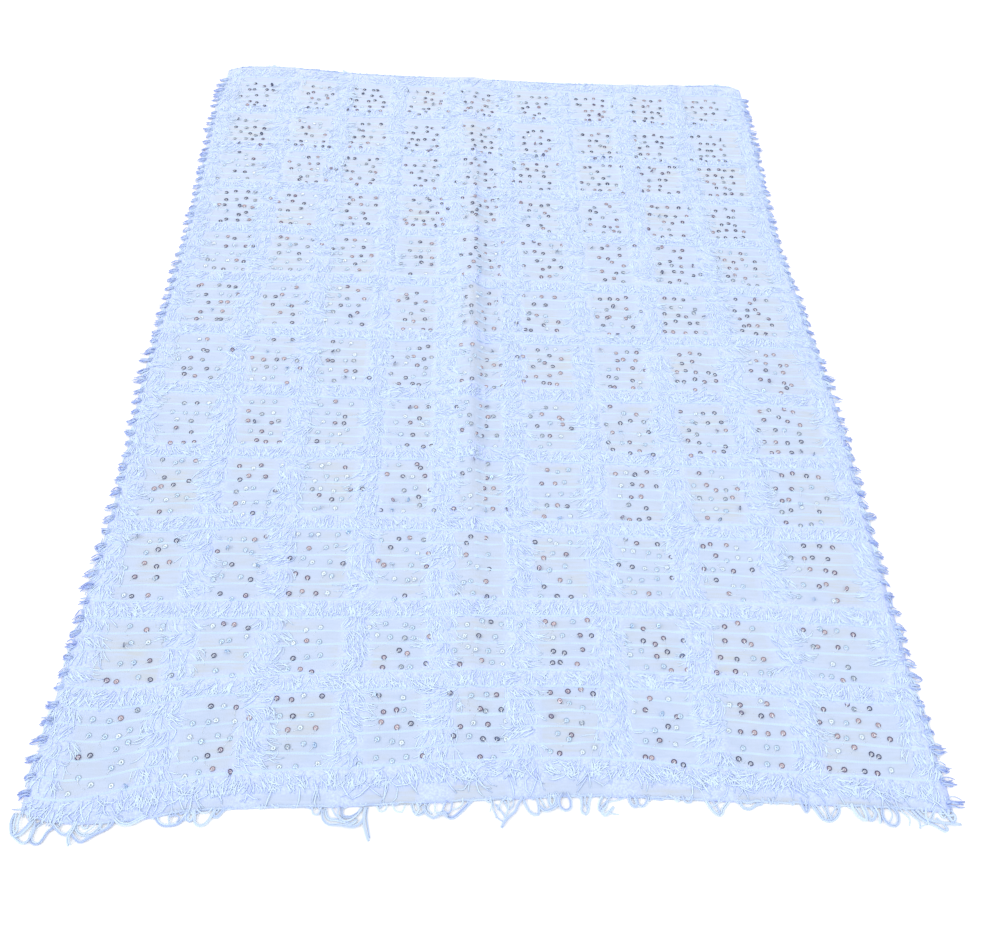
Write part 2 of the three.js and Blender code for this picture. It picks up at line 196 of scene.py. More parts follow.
# %% [markdown]
# ## The folds
#
# A blanket that was folded for storage keeps the memory of it. Here one soft ridge runs down the
# middle, gentle on its left and steep on its right, and smaller ripples and creases lie in the right
# half. Each is a crest line with a height and a width to either side, written down from looking at
# the cloth. A table of them is easier to tune than a simulation, which would put folds of its own
# choosing into a cloth that lies flat.

# %% The middle ridge and the smaller ripples
RIDGE = dict(
    across=[590, 630, 674, 700, 712, 724, 738, 790],
    share=[0, 0.03, 0.5, 0.95, 1, 0.42, 0.0, 0],
)
RIDGE_HEIGHTS = dict(
    down=[0, 370, 695, 1040, 1380, 1543, 1884, 2052],
    high=[6, 9, 16, 20, 16, 8, 5, 0],
)
RIPPLES = [
    dict(down=[1000, 1146, 1265, 1400], across=[1182, 1206, 1246, 1312], high=7, left=55, right=20),
    dict(down=[930, 1061, 1231, 1330], across=[1318, 1322, 1338, 1352], high=7, left=42, right=70),
    dict(down=[-40, 60, 190], across=[1160, 1165, 1172], high=5, left=26, right=20),
    dict(down=[-40, 60, 210], across=[1284, 1288, 1294], high=6, left=34, right=26),
    dict(down=[978, 1032], across=[1290, 1358], high=3.5, left=16, right=12),
    dict(down=[1068, 1158], across=[1318, 1382], high=3.5, left=16, right=11),
    dict(down=[820, 908], across=[1348, 1367], high=3, left=18, right=12),
    dict(down=[1384, 1530], across=[1330, 1402], high=4, left=20, right=13),
    dict(down=[1668, 1722], across=[1312, 1430], high=3.5, left=15, right=12),
    dict(down=[1884, 1962], across=[765, 945], high=5, left=18, right=13),
    dict(down=[1250, 1480], across=[210, 190], high=3, left=60, right=40),
    dict(down=[380, 640], across=[1120, 1090], high=3, left=50, right=40),
]


def fold_lift(across, down):
    """How far the folds lift the underside off the floor, in millimetres."""
    share = np.maximum(curve(RIDGE["across"], RIDGE["share"], across + 3 * np.sin(down / 150)), 0)
    lift = share * curve(RIDGE_HEIGHTS["down"], RIDGE_HEIGHTS["high"], down)
    for ripple in RIPPLES:
        start, end = ripple["down"][0], ripple["down"][-1]
        run = math.hypot(end - start, ripple["across"][-1] - ripple["across"][0])
        crest = curve(ripple["down"], ripple["across"], down)
        off = (across - crest) * (end - start) / run
        width = np.where(off < 0, ripple["left"], ripple["right"])
        along = np.clip((down - start) / (end - start), 0, 1)
        lift = lift + ripple["high"] * np.exp(-((off / width) ** 2)) * np.sin(np.pi * along) ** 0.7
    return np.maximum(lift, 0)


print("the ridge lifts the cloth by up to", round(float(fold_lift(708.0, 1040.0)), 1), "mm")


# %% [markdown]
# ## The height of the woven face
#
# The face is the floor's height, plus the folds, plus the ground's own thickness. Where pile is
# rooted the yarns crowd together and lift the face into a low mound, and between two ribs the ground
# swells a little, as a weave does that was beaten up tight. Everything that is sewn on or pulled out
# asks this one function how high it stands.

# %% Bands, ribs and the height of the face
def band_down(band, across):
    """How far down the middle of a band lies, at a place across the cloth."""
    sag = curve(SAG_ACROSS, SAGS[band], across) if band in SAGS else 0
    return BANDS["down"][band] + WANDER * np.sin(across / 190 + band * 1.7) + sag


def rib_down(block, rib, across):
    """How far down a rib lies: the first ends the band above it, the last starts the next band."""
    start = BANDS["down"][block] + BANDS["wide"][block] / 2
    stop = BANDS["down"][block + 1] - BANDS["wide"][block + 1] / 2
    share = ([start, *RIBS[block], stop][rib] - start) / (stop - start)
    upper = band_down(block, across) - BANDS["down"][block] + start
    lower = band_down(block + 1, across) - BANDS["down"][block + 1] + stop
    stray = 2.4 * uneven(across, 0 * across, 210, 40 + block * 6 + rib)
    return upper + (lower - upper) * share + (stray if 0 < share < 1 else 0)


def pile_share(across, down):
    """1 in the middle of a column or a band, and 0 out on the bare ground."""
    share = np.zeros(np.broadcast(across, down).shape)
    for middle, wide in zip(COLUMNS["across"], COLUMNS["wide"]):
        share = np.maximum(share, 1 - (np.abs(across - middle) / (wide / 2 + 7)) ** 3)
    for band, wide in enumerate(BANDS["wide"]):
        share = np.maximum(share, 1 - (np.abs(down - band_down(band, across)) / (wide / 2 + 8)) ** 3)
    return share


def puff_share(across, down):
    """1 midway between two ribs and 0 at a rib."""
    share = np.zeros(np.broadcast(across, down).shape)
    for block, strips in enumerate(STRIPS):
        upper = rib_down(block, 0, across)
        for strip in range(strips):
            lower = rib_down(block, strip + 1, across)
            along = (down - upper) / (lower - upper)
            share = np.where((along > 0) & (along < 1), np.sin(np.pi * along) ** 2, share)
            upper = lower
    return share


def face(across, down):
    """Height of the woven face above the floor, in millimetres."""
    edge = np.minimum(np.minimum(across, CLOTH_WIDE - across), np.minimum(down, CLOTH_LONG - down))
    body = GROUND * (0.65 + 0.35 * np.clip(edge / 9, 0, 1))
    pile = pile_share(across, down) * np.clip(edge / 12, 0.35, 1)
    crinkle = 0.45 * uneven(across, down, 60, 3) + 0.5 * uneven(across, down, 150, 4)
    return fold_lift(across, down) + body + MOUND * pile + PUFF * puff_share(across, down) + crinkle


print("bare ground stands", round(float(face(np.array(275.0), np.array(300.0))), 1), "mm high")


# %% [markdown]
# ## Colours and shader nodes
#
# The whites are written as sRGB hex, as a colour picker gives them, and turned to the linear values
# that light works in by one function. One more function adds a shader node with its settings and
# what feeds it, so each finish below reads like a recipe.

# %% Two helpers for finishes
def srgb(code):
    """A hex colour such as "d5e2f6" as the linear red, green, blue and alpha that Blender uses."""
    parts = [int(code[i:i + 2], 16) / 255 for i in (0, 2, 4)]
    linear = [p / 12.92 if p <= 0.04045 else ((p + 0.055) / 1.055) ** 2.4 for p in parts]
    return (*linear, 1.0)


def add_node(tree, kind, settings=None, inputs=None):
    """Adds a node, sets its own values, and gives each input a value or another node's output."""
    made = tree.nodes.new(kind)
    for name, value in (settings or {}).items():
        setattr(made, name, value)
    for name, value in (inputs or {}).items():
        if isinstance(value, bpy.types.NodeSocket):
            tree.links.new(value, made.inputs[name])
        else:
            made.inputs[name].default_value = value
    return made


def new_finish(name):
    """An empty material and its tree, ready for nodes."""
    finish = bpy.data.materials.new(name)
    finish.use_nodes = True
    finish.node_tree.nodes.clear()
    return finish, finish.node_tree


print("a white of the cloth in linear light:", [round(part, 3) for part in srgb("d2e0f6")])


# %% [markdown]
# ## The finish of the woven ground
#
# The ground is handspun wool and cotton, woven weft-faced: the crosswise yarns are beaten down so
# hard that they hide the lengthwise ones, which shows as fine ridges across. Wool has no gloss, and
# its loose fibres catch light at a grazing angle, which is what the sheen is for. The white isn't
# even: yarns differ from spin to spin, and broad greyer patches are painted shade. Under the pile
# the ground takes the pile's violet, partly as the same cotton and partly as painted shade.
# The weft pitch of 1.7 mm is real, and the render shows it only from close by.

# %% Handwoven wool ground
WEFT_PITCH = 1.7
WARP_PITCH = 3.4
ground_wool, tree = new_finish("handwoven_wool_ground")
place = add_node(tree, "ShaderNodeTexCoord").outputs["Object"]
along_weft = add_node(tree, "ShaderNodeMapping", None, {"Vector": place, "Scale": (0.12, 1, 1)}).outputs[0]
WOOL_PATTERNS = dict(
    yarns=dict(where=along_weft, size=5, detail=2, low=0.35, high=0.7),
    painted_shade_patches=dict(where=place, size=120, detail=3, low=0.42, high=0.68),
    roots=dict(where=place, size=3.5, detail=2, low=0.35, high=0.65),
)                         # sizes in millimetres; each runs from 0 at low to 1 at high
shares = {}
for name, pattern in WOOL_PATTERNS.items():
    noise = add_node(
        tree, "ShaderNodeTexNoise", None,
        {"Vector": pattern["where"], "Scale": 1 / (pattern["size"] * MM), "Detail": pattern["detail"]},
    )
    shares[name] = add_node(
        tree, "ShaderNodeMapRange", None,
        {"Value": noise.outputs["Fac"], "From Min": pattern["low"], "From Max": pattern["high"]},
    ).outputs["Result"]
specks = add_node(
    tree, "ShaderNodeTexVoronoi", {"feature": "F1"},
    {"Vector": place, "Scale": 1 / (38 * MM), "Randomness": 1.0},
)
speck = add_node(
    tree, "ShaderNodeMapRange", None,
    {"Value": specks.outputs["Distance"], "From Min": 0.045, "From Max": 0.025},
)
# Where pile is rooted the ground takes the pile's violet: partly its cotton, partly painted shade under the
# strands.
rooted = add_node(tree, "ShaderNodeAttribute", {"attribute_name": "pile"})
root_colour_and_shade = add_node(
    tree, "ShaderNodeMix", {"data_type": "RGBA"},
    {0: shares["roots"], 6: srgb("b6c5fc"), 7: srgb("c7d9fe")},
)
white = srgb("b6c6e1")
# Mixed in turn: broad greyer patches of painted shade, the yarns' own tones, specks, and under the pile a
# violet that is partly its cotton and partly painted shade.
for share, tone in (
    (shares["painted_shade_patches"], srgb("bcc5d0")),
    (shares["yarns"], srgb("bccbe6")),
    (speck.outputs["Result"], srgb("a7aebf")),
    (rooted.outputs["Fac"], root_colour_and_shade.outputs[2]),
):
    white = add_node(tree, "ShaderNodeMix", {"data_type": "RGBA"}, {0: share, 6: white, 7: tone}).outputs[2]

# %% The relief of the weave
yarn_rows = [
    add_node(
        tree, "ShaderNodeTexWave", {"bands_direction": direction},
        {"Vector": place, "Scale": 2 * math.pi / (20 * pitch * MM),
         "Distortion": 0.6, "Detail": 1.0, "Detail Scale": 0.6},
    ).outputs["Fac"]
    for direction, pitch in (("Y", WEFT_PITCH), ("X", WARP_PITCH))
]
weave = add_node(
    tree, "ShaderNodeMath", {"operation": "MULTIPLY"}, {0: yarn_rows[0], 1: yarn_rows[1]},
)
bump = add_node(
    tree, "ShaderNodeBump", None,
    {"Strength": 0.35, "Distance": 0.5 * MM, "Height": weave.outputs[0]},
)
lumps = add_node(
    tree, "ShaderNodeTexNoise", None, {"Vector": place, "Scale": 1 / (14 * MM), "Detail": 3.0},
)
soft = add_node(
    tree, "ShaderNodeBump", None,
    {"Strength": 0.5, "Distance": 1.2 * MM, "Height": lumps.outputs["Fac"], "Normal": bump.outputs[0]},
)
shader = add_node(
    tree, "ShaderNodeBsdfPrincipled", None,
    {"Base Color": white, "Roughness": 0.95, "Sheen Weight": 0.15, "Sheen Roughness": 0.6,
     "Specular IOR Level": 0.2, "Normal": soft.outputs[0]},
)
add_node(tree, "ShaderNodeOutputMaterial", None, {"Surface": shader.outputs[0]})
print("the ground has", round(CLOTH_LONG / WEFT_PITCH), "weft yarns from end to end")


# %% [markdown]
# ## The finish of the cotton yarns
#
# Ribs, pile, fringe and sewing thread are all cotton, brighter and smoother than the wool, and they
# differ in thickness and twist. A plied yarn shows its twist as slanting ridges, so the ridges
# follow each strand by the map that runs along it and around it. In the pile the light doesn't
# reach the roots, where the white turns to a cool violet, and each strand has a tone of its own.

# %% Cotton, from the thick warp to the sewing thread
def cotton_finish(name, light, dark, ply_pitch, depth):
    """Plied cotton: light and dark are its tones, ply_pitch the length of one turn of its twist."""
    finish, tree = new_finish(name)
    tone = add_node(tree, "ShaderNodeAttribute", {"attribute_name": "tone"}).outputs["Fac"]
    white = add_node(
        tree, "ShaderNodeMix", {"data_type": "RGBA"}, {0: tone, 6: srgb(dark), 7: srgb(light)},
    ).outputs[2]
    strand = add_node(tree, "ShaderNodeTexCoord").outputs["UV"]
    apart = add_node(tree, "ShaderNodeSeparateXYZ", None, {"Vector": strand})
    turns = add_node(
        tree, "ShaderNodeMath", {"operation": "MULTIPLY_ADD"},
        {0: apart.outputs[0], 1: 1 / (ply_pitch * MM), 2: apart.outputs[1]},
    ).outputs[0]
    angle = add_node(tree, "ShaderNodeMath", {"operation": "MULTIPLY"}, {0: turns, 1: 4 * math.pi})
    ridges = add_node(tree, "ShaderNodeMath", {"operation": "SINE"}, {0: angle.outputs[0]}).outputs[0]
    bump = add_node(
        tree, "ShaderNodeBump", None, {"Strength": 0.6, "Distance": depth * MM, "Height": ridges},
    )
    shader = add_node(
        tree, "ShaderNodeBsdfPrincipled", None,
        {"Base Color": white, "Roughness": 0.85, "Sheen Weight": 0.1, "Sheen Roughness": 0.5,
         "Specular IOR Level": 0.25, "Normal": bump.outputs[0]},
    )
    add_node(tree, "ShaderNodeOutputMaterial", None, {"Surface": shader.outputs[0]})
    return finish


rib_cotton = cotton_finish("thick_cotton_rib", "c1d8f3", "b8ceed", 9, 0.25)
# the pile's dark tone is the painted violet shade of its roots
pile_cotton = cotton_finish("pulled_cotton_pile", "d5eaff", "b3c3ff", 8, 0.1)
# the tufts' dark blue is partly dirt and partly painted shade
tuft_cotton = cotton_finish("frayed_cotton_tuft", "c8dcfb", "748ddf", 8, 0.15)
warp_cotton = cotton_finish("plied_cotton_warp", "d4e8ff", "b2c6f2", 7, 0.5)
thread_cotton = cotton_finish("white_sewing_thread", "e9f4ff", "dde9fa", 3, 0.1)
print("cotton finishes:", rib_cotton.name, pile_cotton.name, tuft_cotton.name, warp_cotton.name)

# %% [markdown]
# ## The finish of the sequins
#
# The sequins are punched out of thin tinned sheet and dished by the punch. Worn for years next to
# wool they tarnish one by one: some stay bright, some go pewter grey, and on some the bronze below
# shows. A metal takes its colour from its reflections, so the colours here are partly that tarnish
# and partly painted reflection: pale where a sequin would mirror the sky, dark and bronze where it
# would mirror darker surroundings. Each carries a number for both, and the dark lies in a ring
# inside the rim, also partly tarnish and partly painted reflection. The default IOR stays. "out"
# runs from 0 in the middle of a sequin to 1 at its rim.

# %% Tinned sequin metal
TARNISH_AND_REFLECTION = [
    (0.0, "565b78", "c6cee2"),
    (0.2, "706783", "d0cad8"),
    (0.4, "a797a6", "dacfd8"),
    (0.6, "94a2b6", "c8d8ea"),
    (0.8, "c4defa", "cce5ff"),
    (1.0, "d6eaff", "ecf9ff"),
]                         # tarnish-and-reflection number, the ring's colour and the dish's
sequin_metal, tree = new_finish("tin_sequin_tarnish_and_painted_reflection")
tarnish_and_reflection_value = add_node(tree, "ShaderNodeAttribute", {"attribute_name": "tone"}).outputs["Fac"]
out = add_node(tree, "ShaderNodeAttribute", {"attribute_name": "out"}).outputs["Fac"]
# the dark ring inside the rim is partly tarnish and partly painted reflection
ring = add_node(tree, "ShaderNodeMapRange", None, {"Value": out, "From Min": 0.5, "From Max": 0.66})
ring_and_dish = []
for column in (1, 2):
    ramp = add_node(tree, "ShaderNodeValToRGB", None, {"Fac": tarnish_and_reflection_value})
    ramp.color_ramp.interpolation = "CONSTANT"
    stops = ramp.color_ramp.elements
    for step, row in enumerate(TARNISH_AND_REFLECTION):
        stop = stops[step] if step < 2 else stops.new(1.0)
        stop.position = max(0.0, row[0] - 0.1)
        stop.color = srgb(row[column])
    ring_and_dish.append(ramp.outputs["Color"])
metal_colour = add_node(
    tree, "ShaderNodeMix", {"data_type": "RGBA"},
    {0: ring.outputs["Result"], 6: ring_and_dish[1], 7: ring_and_dish[0]},
).outputs[2]
place = add_node(tree, "ShaderNodeTexCoord").outputs["Object"]
scuffs = add_node(
    tree, "ShaderNodeTexNoise", None, {"Vector": place, "Scale": 1 / (1.2 * MM), "Detail": 3.0},
)
rough = add_node(
    tree, "ShaderNodeMapRange", None,
    {"Value": scuffs.outputs["Fac"], "From Min": 0.3, "From Max": 0.8, "To Min": 0.24, "To Max": 0.42},
)
shader = add_node(
    tree, "ShaderNodeBsdfPrincipled", None,
    {"Base Color": metal_colour, "Metallic": 1.0, "Roughness": rough.outputs[0]},
)
add_node(tree, "ShaderNodeOutputMaterial", None, {"Surface": shader.outputs[0]})
print(len(TARNISH_AND_REFLECTION), "degrees of tarnish")


# %% [markdown]
# ## The cloth
#
# The cloth starts as a flat grid. Every point of it is moved to its place on the wavy sheet and to
# the height of the woven face, then Solidify gives it an underside, which is pressed flat to the
# floor wherever no fold lifts it. A closed sheet like this has a real edge to look at.

# %% Weave the cloth
STEPS_ACROSS = 112
STEPS_DOWN = 240


def start_piece(name, add, **sizes):
    """Adds a primitive with nothing else selected, and names it."""
    bpy.ops.object.select_all(action="DESELECT")
    add(**sizes)
    piece = bpy.context.active_object
    piece.name = piece.data.name = name
    return piece


def points_of(mesh):
    """The places of a mesh's points, a row each."""
    flat = np.zeros(len(mesh.vertices) * 3)
    mesh.vertices.foreach_get("co", flat)
    return flat.reshape(-1, 3)


def triangles(piece):
    return sum(len(polygon.vertices) - 2 for polygon in piece.data.polygons)


def dress(piece, finish):
    """Gives a piece its finish, smooths it and lets it ride on the one body."""
    piece.data.materials.clear()
    piece.data.materials.append(finish)
    piece.data.shade_smooth()
    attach(piece, "root")
    print(piece.name, "has", triangles(piece), "triangles")
    return piece


cloth = start_piece(
    "handwoven_cloth", bpy.ops.mesh.primitive_grid_add,
    x_subdivisions=STEPS_ACROSS, y_subdivisions=STEPS_DOWN, size=1,
)
grid = points_of(cloth.data)
grid_across = (grid[:, 0] + 0.5) * CLOTH_WIDE
grid_down = (0.5 - grid[:, 1]) * CLOTH_LONG
grid_x, grid_y = on_floor(grid_across, grid_down)
grid_z = face(grid_across, grid_down) * MM
cloth.data.vertices.foreach_set("co", np.stack([grid_x, grid_y, grid_z], 1).ravel())
backing = cloth.modifiers.new("underside", "SOLIDIFY")
backing.thickness = GROUND * MM
backing.offset = -1
bpy.ops.object.modifier_apply(modifier=backing.name)
whole = points_of(cloth.data)
under = len(grid)
whole[under:, 0] = grid_x
whole[under:, 1] = grid_y
whole[under:, 2] = fold_lift(grid_across, grid_down) * MM
cloth.data.vertices.foreach_set("co", whole.ravel())
# The share of pile, which the ground finish turns into a violet that is partly painted shade.
rooted = cloth.data.attributes.new("pile", "FLOAT", "POINT")
rooted.data.foreach_set("value", np.tile(np.clip(2 * pile_share(grid_across, grid_down), 0, 1), 2))
cloth.data.update()
dress(cloth, ground_wool)
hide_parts("blanket_cloth")


# %% [markdown]
# ## Yarns, thousands at a time
#
# There are nearly thirty thousand strands on this blanket, far too many to model by hand or to keep
# as objects. So each kind of strand is worked out as an array of paths, and one function sweeps a
# small round section along all of them together and joins them into one mesh. It also writes the map
# that the twist of the yarn follows, and a tone for each point, which in the pile is darker towards
# the root as painted shade.

# %% Sweep a section along many paths
def joined_mesh(name, points, faces, attributes):
    """One piece from arrays: places, lists of faces with equally many corners, point values."""
    mesh = bpy.data.meshes.new(name)
    corners = np.concatenate([group.ravel() for group in faces]).astype(np.int32)
    sizes = np.concatenate([np.full(len(group), group.shape[1]) for group in faces])
    mesh.vertices.add(len(points))
    mesh.vertices.foreach_set("co", points.ravel())
    mesh.loops.add(len(corners))
    mesh.loops.foreach_set("vertex_index", corners)
    mesh.polygons.add(len(sizes))
    starts = np.concatenate([[0], np.cumsum(sizes)[:-1]]).astype(np.int32)
    mesh.polygons.foreach_set("loop_start", starts)
    mesh.update(calc_edges=True)
    for label, values in attributes.items():
        layer = mesh.attributes.new(label, "FLOAT", "POINT")
        layer.data.foreach_set("value", np.broadcast_to(values, len(points)).astype(np.float32))
    piece = bpy.data.objects.new(name, mesh)
    bpy.context.scene.collection.objects.link(piece)
    return piece


def unit(vectors):
    return vectors / np.maximum(np.linalg.norm(vectors, axis=-1, keepdims=True), 1e-9)


def sweep(name, paths, radii, tones, sides=3, flat=1.0):
    """Sweeps a section along each path. paths is strands x rings x 3 in metres, and radii and tones
    have a value for each ring. flat squeezes the section from above."""
    strands, rings = paths.shape[:2]
    along = unit(np.gradient(paths, axis=1))
    side = unit(np.cross(along, (0, 0, 1)) + (0, 1e-6, 0))
    up = np.cross(side, along)
    turn = 2 * np.pi * np.arange(sides) / sides + (np.pi / 2 if sides == 3 else 0)
    ring = (
        np.cos(turn)[:, None] * side[:, :, None, :]
        + np.sin(turn)[:, None] * up[:, :, None, :] * flat
    )
    points = paths[:, :, None, :] + radii[:, :, None, None] * ring
    number = np.arange(strands * rings * sides).reshape(strands, rings, sides)
    after = np.roll(number, -1, axis=2)
    quads = np.stack([number[:, :-1], number[:, 1:], after[:, 1:], after[:, :-1]], -1)
    piece = joined_mesh(
        name, points.reshape(-1, 3),
        [quads.reshape(-1, 4), number[:, 0], number[:, -1, ::-1]],
        {"tone": np.repeat(tones.ravel(), sides)},
    )
    steps = np.linalg.norm(np.diff(paths, axis=1), axis=2)
    run = np.concatenate([np.zeros((strands, 1)), np.cumsum(steps, 1)], 1)
    around = np.arange(sides) / sides
    low, high = run[:, :-1, None], run[:, 1:, None]
    spans = np.broadcast_arrays(low, high, around, around + 1 / sides)
    low, high, start, stop = (np.broadcast_to(s, (strands, rings - 1, sides)) for s in spans)
    u = np.stack([low, high, high, low], -1)
    v = np.stack([start, start, stop, stop], -1)
    caps = np.zeros((2 * strands * sides, 2))
    flat_map = np.concatenate([np.stack([u, v], -1).reshape(-1, 2), caps])
    piece.data.uv_layers.new(name="along_and_around").data.foreach_set("uv", flat_map.ravel())
    return piece


print("three sides are enough for a strand under 3 mm thick")

# %% [markdown]
# ## The ribs
#
# Each rib is a thick roll of cotton laid in between rows of the weave, so it stands up out of the
# ground as a low soft cord from side to side. It never runs quite straight. From where the blanket is
# seen, only a light top and two shaded flanks of it show. So a flattened section with four sides is
# enough, and it is shaded flat to keep them apart.

# %% Lay the ribs
RIB_HALF = 2.8            # half the width of a rib
RIB_FLAT = 0.34           # how much of a round section's height is left
RIB_SINK = 0.3            # how deep its middle lies in the ground
RIB_RINGS = 91            # places along a rib
draw = np.random.default_rng(11)
rib_across = np.linspace(3, CLOTH_WIDE - 3, RIB_RINGS)
rib_paths = []
for block, strips in enumerate(STRIPS):
    for rib in range(strips + 1):
        down = rib_down(block, rib, rib_across) + uneven(rib_across, 0 * rib_across, 70, block * 9 + rib)
        x, y = on_floor(rib_across, down)
        rib_paths.append(np.stack([x, y, (face(rib_across, down) - RIB_SINK) * MM], 1))
rib_paths = np.array(rib_paths)
rib_radii = RIB_HALF * MM * (1 + 0.12 * draw.standard_normal(rib_paths.shape[:2]))
rib_tones = 0.75 + 0.25 * draw.standard_normal(rib_paths.shape[:2])
ribs = sweep("cotton_ribs", rib_paths, rib_radii, rib_tones, sides=4, flat=RIB_FLAT)
dress(ribs, rib_cotton)
ribs.data.shade_flat()


# %% [markdown]
# ## The pile
#
# The weaver pulls the rib yarn up over a stick in small groups, and the loops fall over and lie down
# on the strip of ground below. Each group fans out like a little broom, and leans left or right with
# its neighbours. So a strand is given by where it is rooted, the way it heads, how it bends and how
# long it is. Height comes last: it rises out of its rib, lies on the strands below it, and its tip
# comes down again. Each strand is darker at its root as painted shade. Towards the top end the
# strands differ less in tone, so that painted shade is weaker there.

# %% Strands that lie on the cloth
RING_PLACES = np.array([0, 0.3, 0.68, 1])
RING_HEIGHTS = np.array([0.0, 0.9, 1.0, 0.45])
# painted shade along a strand: lowest at the root, where little light reaches
RING_SHADE_TONES = np.array([0.4, 0.9, 1.0, 0.8])
RING_RADII = np.array([0.8, 1.0, 1.0, 0.66])
PILE_THICK = 2.8          # across a strand, in millimetres
PILE_FLAT = 0.3           # how much of its height is left where it lies
PILE_TONE = 0.8           # what the tones draw near to towards the top end, which weakens the painted root shade


def lying_strands(across, down, heading, bend, length, lie):
    """Paths of strands from their roots. heading is 0 for down the cloth and positive to the right,
    bend is how far it turns on its way, both in radians, and lie is the height it lies at."""
    turned = heading[:, None] + bend[:, None] * (RING_PLACES - 0.25)
    steps = np.diff(RING_PLACES, prepend=0) * length[:, None]
    run_across = across[:, None] + np.cumsum(steps * np.sin(turned), 1)
    run_across = np.clip(run_across, -3, CLOTH_WIDE + 3)
    run_down = down[:, None] + np.cumsum(steps * np.cos(turned), 1)
    x, y = on_floor(run_across, run_down)
    inside_across = np.clip(run_across, 0, CLOTH_WIDE)
    inside_down = np.clip(run_down, 0, CLOTH_LONG)
    z = face(inside_across, inside_down) + RING_HEIGHTS * lie[:, None]
    return np.stack([x, y, z * MM], -1)


def pile_piece(name, paths, draw):
    """Sweeps lying strands into one piece of pile."""
    count = len(paths)
    radii = PILE_THICK / 2 * MM * draw.uniform(0.85, 1.15, (count, 1)) * RING_RADII
    tones = np.clip(RING_SHADE_TONES * draw.normal(0.92, 0.14, (count, 1)), 0, 1)
    toward_top = 0.25 + 0.5 * paths[:, :1, 1] / (CLOTH_LONG * MM)
    tones = tones + (PILE_TONE - tones) * np.clip(toward_top, 0, 0.5)
    piece = sweep(name, paths, radii, tones, flat=PILE_FLAT)
    return dress(piece, pile_cotton)


COLUMN_STRANDS = 24       # in the broom of one rib
COLUMN_LENGTH = 24


def column_paths(columns, draw):
    """The brooms of pile of some columns: one at each rib, from band to band."""
    groups = []
    for column in columns:
        middle, wide = COLUMNS["across"][column], COLUMNS["wide"][column]
        for block, strips in enumerate(STRIPS):
            for rib in range(strips):
                count = int(draw.integers(COLUMN_STRANDS - 4, COLUMN_STRANDS + 5))
                reach = wide / 2 * draw.uniform(1.05, 1.5)
                spot = draw.uniform(-1, 1, count)
                across = np.clip(middle + draw.normal(0, 4) + spot * reach, 4, CLOTH_WIDE - 4)
                down = rib_down(block, rib, across) + draw.uniform(-3, 13, count)
                lean = draw.uniform(-0.9, 0.9)
                heading = lean + spot * draw.uniform(-0.2, 0.9) + draw.normal(0, 0.3, count)
                bend = draw.choice([-1, 1]) * draw.uniform(0.2, 1.6) + draw.normal(0, 0.5, count)
                length = draw.normal(COLUMN_LENGTH, 5, count)
                lie = draw.uniform(0.3, 1.1, count)
                groups.append(np.stack([across, down, heading, bend, length, lie]))
    return lying_strands(*np.concatenate(groups, 1))


draw = np.random.default_rng(21)
left_columns = pile_piece("pile_columns_left", column_paths(range(0, 5), draw), draw)
right_columns = pile_piece("pile_columns_right", column_paths(range(5, 10), draw), draw)

# %% [markdown]
# ## The bands of pile
#
# In a band the rib yarn is pulled up all the way across. Its strands are rooted all through the
# band's width and lie down over it, slanting one way for a hand's breadth and then the other. The
# slant is a slow unevenness along the band with a quicker one on top. A few long strands of the last
# band lie over the hem, and to the right they all lie sideways.

# %% Pull up the bands
BAND_STRANDS = 1000       # in each band
BAND_LENGTH = 22
HEM_STRANDS = 150
HEM_LENGTH = 38
HEM_SIDEWAYS = 950        # past this place across, the strands on the hem lie sideways


def band_paths(bands, draw):
    """The strands of some bands, from side to side."""
    groups = []
    for band in bands:
        count = BAND_STRANDS
        across = np.sort(draw.uniform(5, CLOTH_WIDE - 5, count))
        slow = uneven(across, 0 * across, 170, 300 + band)
        quick = uneven(across, 0 * across, 46, 330 + band)
        heading = slow + 0.7 * quick + draw.normal(0, 0.25, count)
        wide = BANDS["wide"][band]
        depth = draw.uniform(-0.02, 0.8, count) * wide
        down = band_down(band, across) - wide / 2 + depth
        bend = draw.normal(0, 0.7, count)
        room = (wide + 2 - depth) / np.maximum(np.abs(np.cos(heading)), 0.3)
        length = np.minimum(draw.normal(BAND_LENGTH, 5, count), room)
        lie = draw.uniform(0.3, 1.2, count)
        down = np.minimum(down, CLOTH_LONG - 6)
        groups.append(np.stack([across, down, heading, bend, length, lie]))
    return lying_strands(*np.concatenate(groups, 1))


def hem_paths(draw):
    """The few long strands of the last band that lie over the hem."""
    across = draw.uniform(20, CLOTH_WIDE - 20, HEM_STRANDS)
    down = band_down(BAND_COUNT - 1, across) + draw.uniform(-8, 14, HEM_STRANDS)
    down = np.minimum(down, CLOTH_LONG - 8)
    heading, bend = draw.normal(0, 0.6, HEM_STRANDS), draw.normal(0, 1.4, HEM_STRANDS)
    heading = np.where(across > HEM_SIDEWAYS, 1.0 + 0.6 * heading, heading)
    length = np.minimum(draw.normal(HEM_LENGTH, 8, HEM_STRANDS), CLOTH_LONG - down + 4)
    return lying_strands(across, down, heading, bend, length, draw.uniform(0.9, 2.2, HEM_STRANDS))


draw = np.random.default_rng(22)
upper_bands = pile_piece("pile_bands_upper", band_paths(range(0, 7), draw), draw)
lower_paths = np.concatenate([band_paths(range(7, 13), draw), hem_paths(draw)])
lower_bands = pile_piece("pile_bands_lower", lower_paths, draw)

# %% [markdown]
# ## One sequin
#
# A sequin is made the way a jeweller would draw it: the ring of its hole is pulled outwards to the
# bottom of the dish and up to the rim, then back under itself to the hole. So it is one thin closed
# shell. Eight corners look round at this size, and it is going to be copied two thousand times.

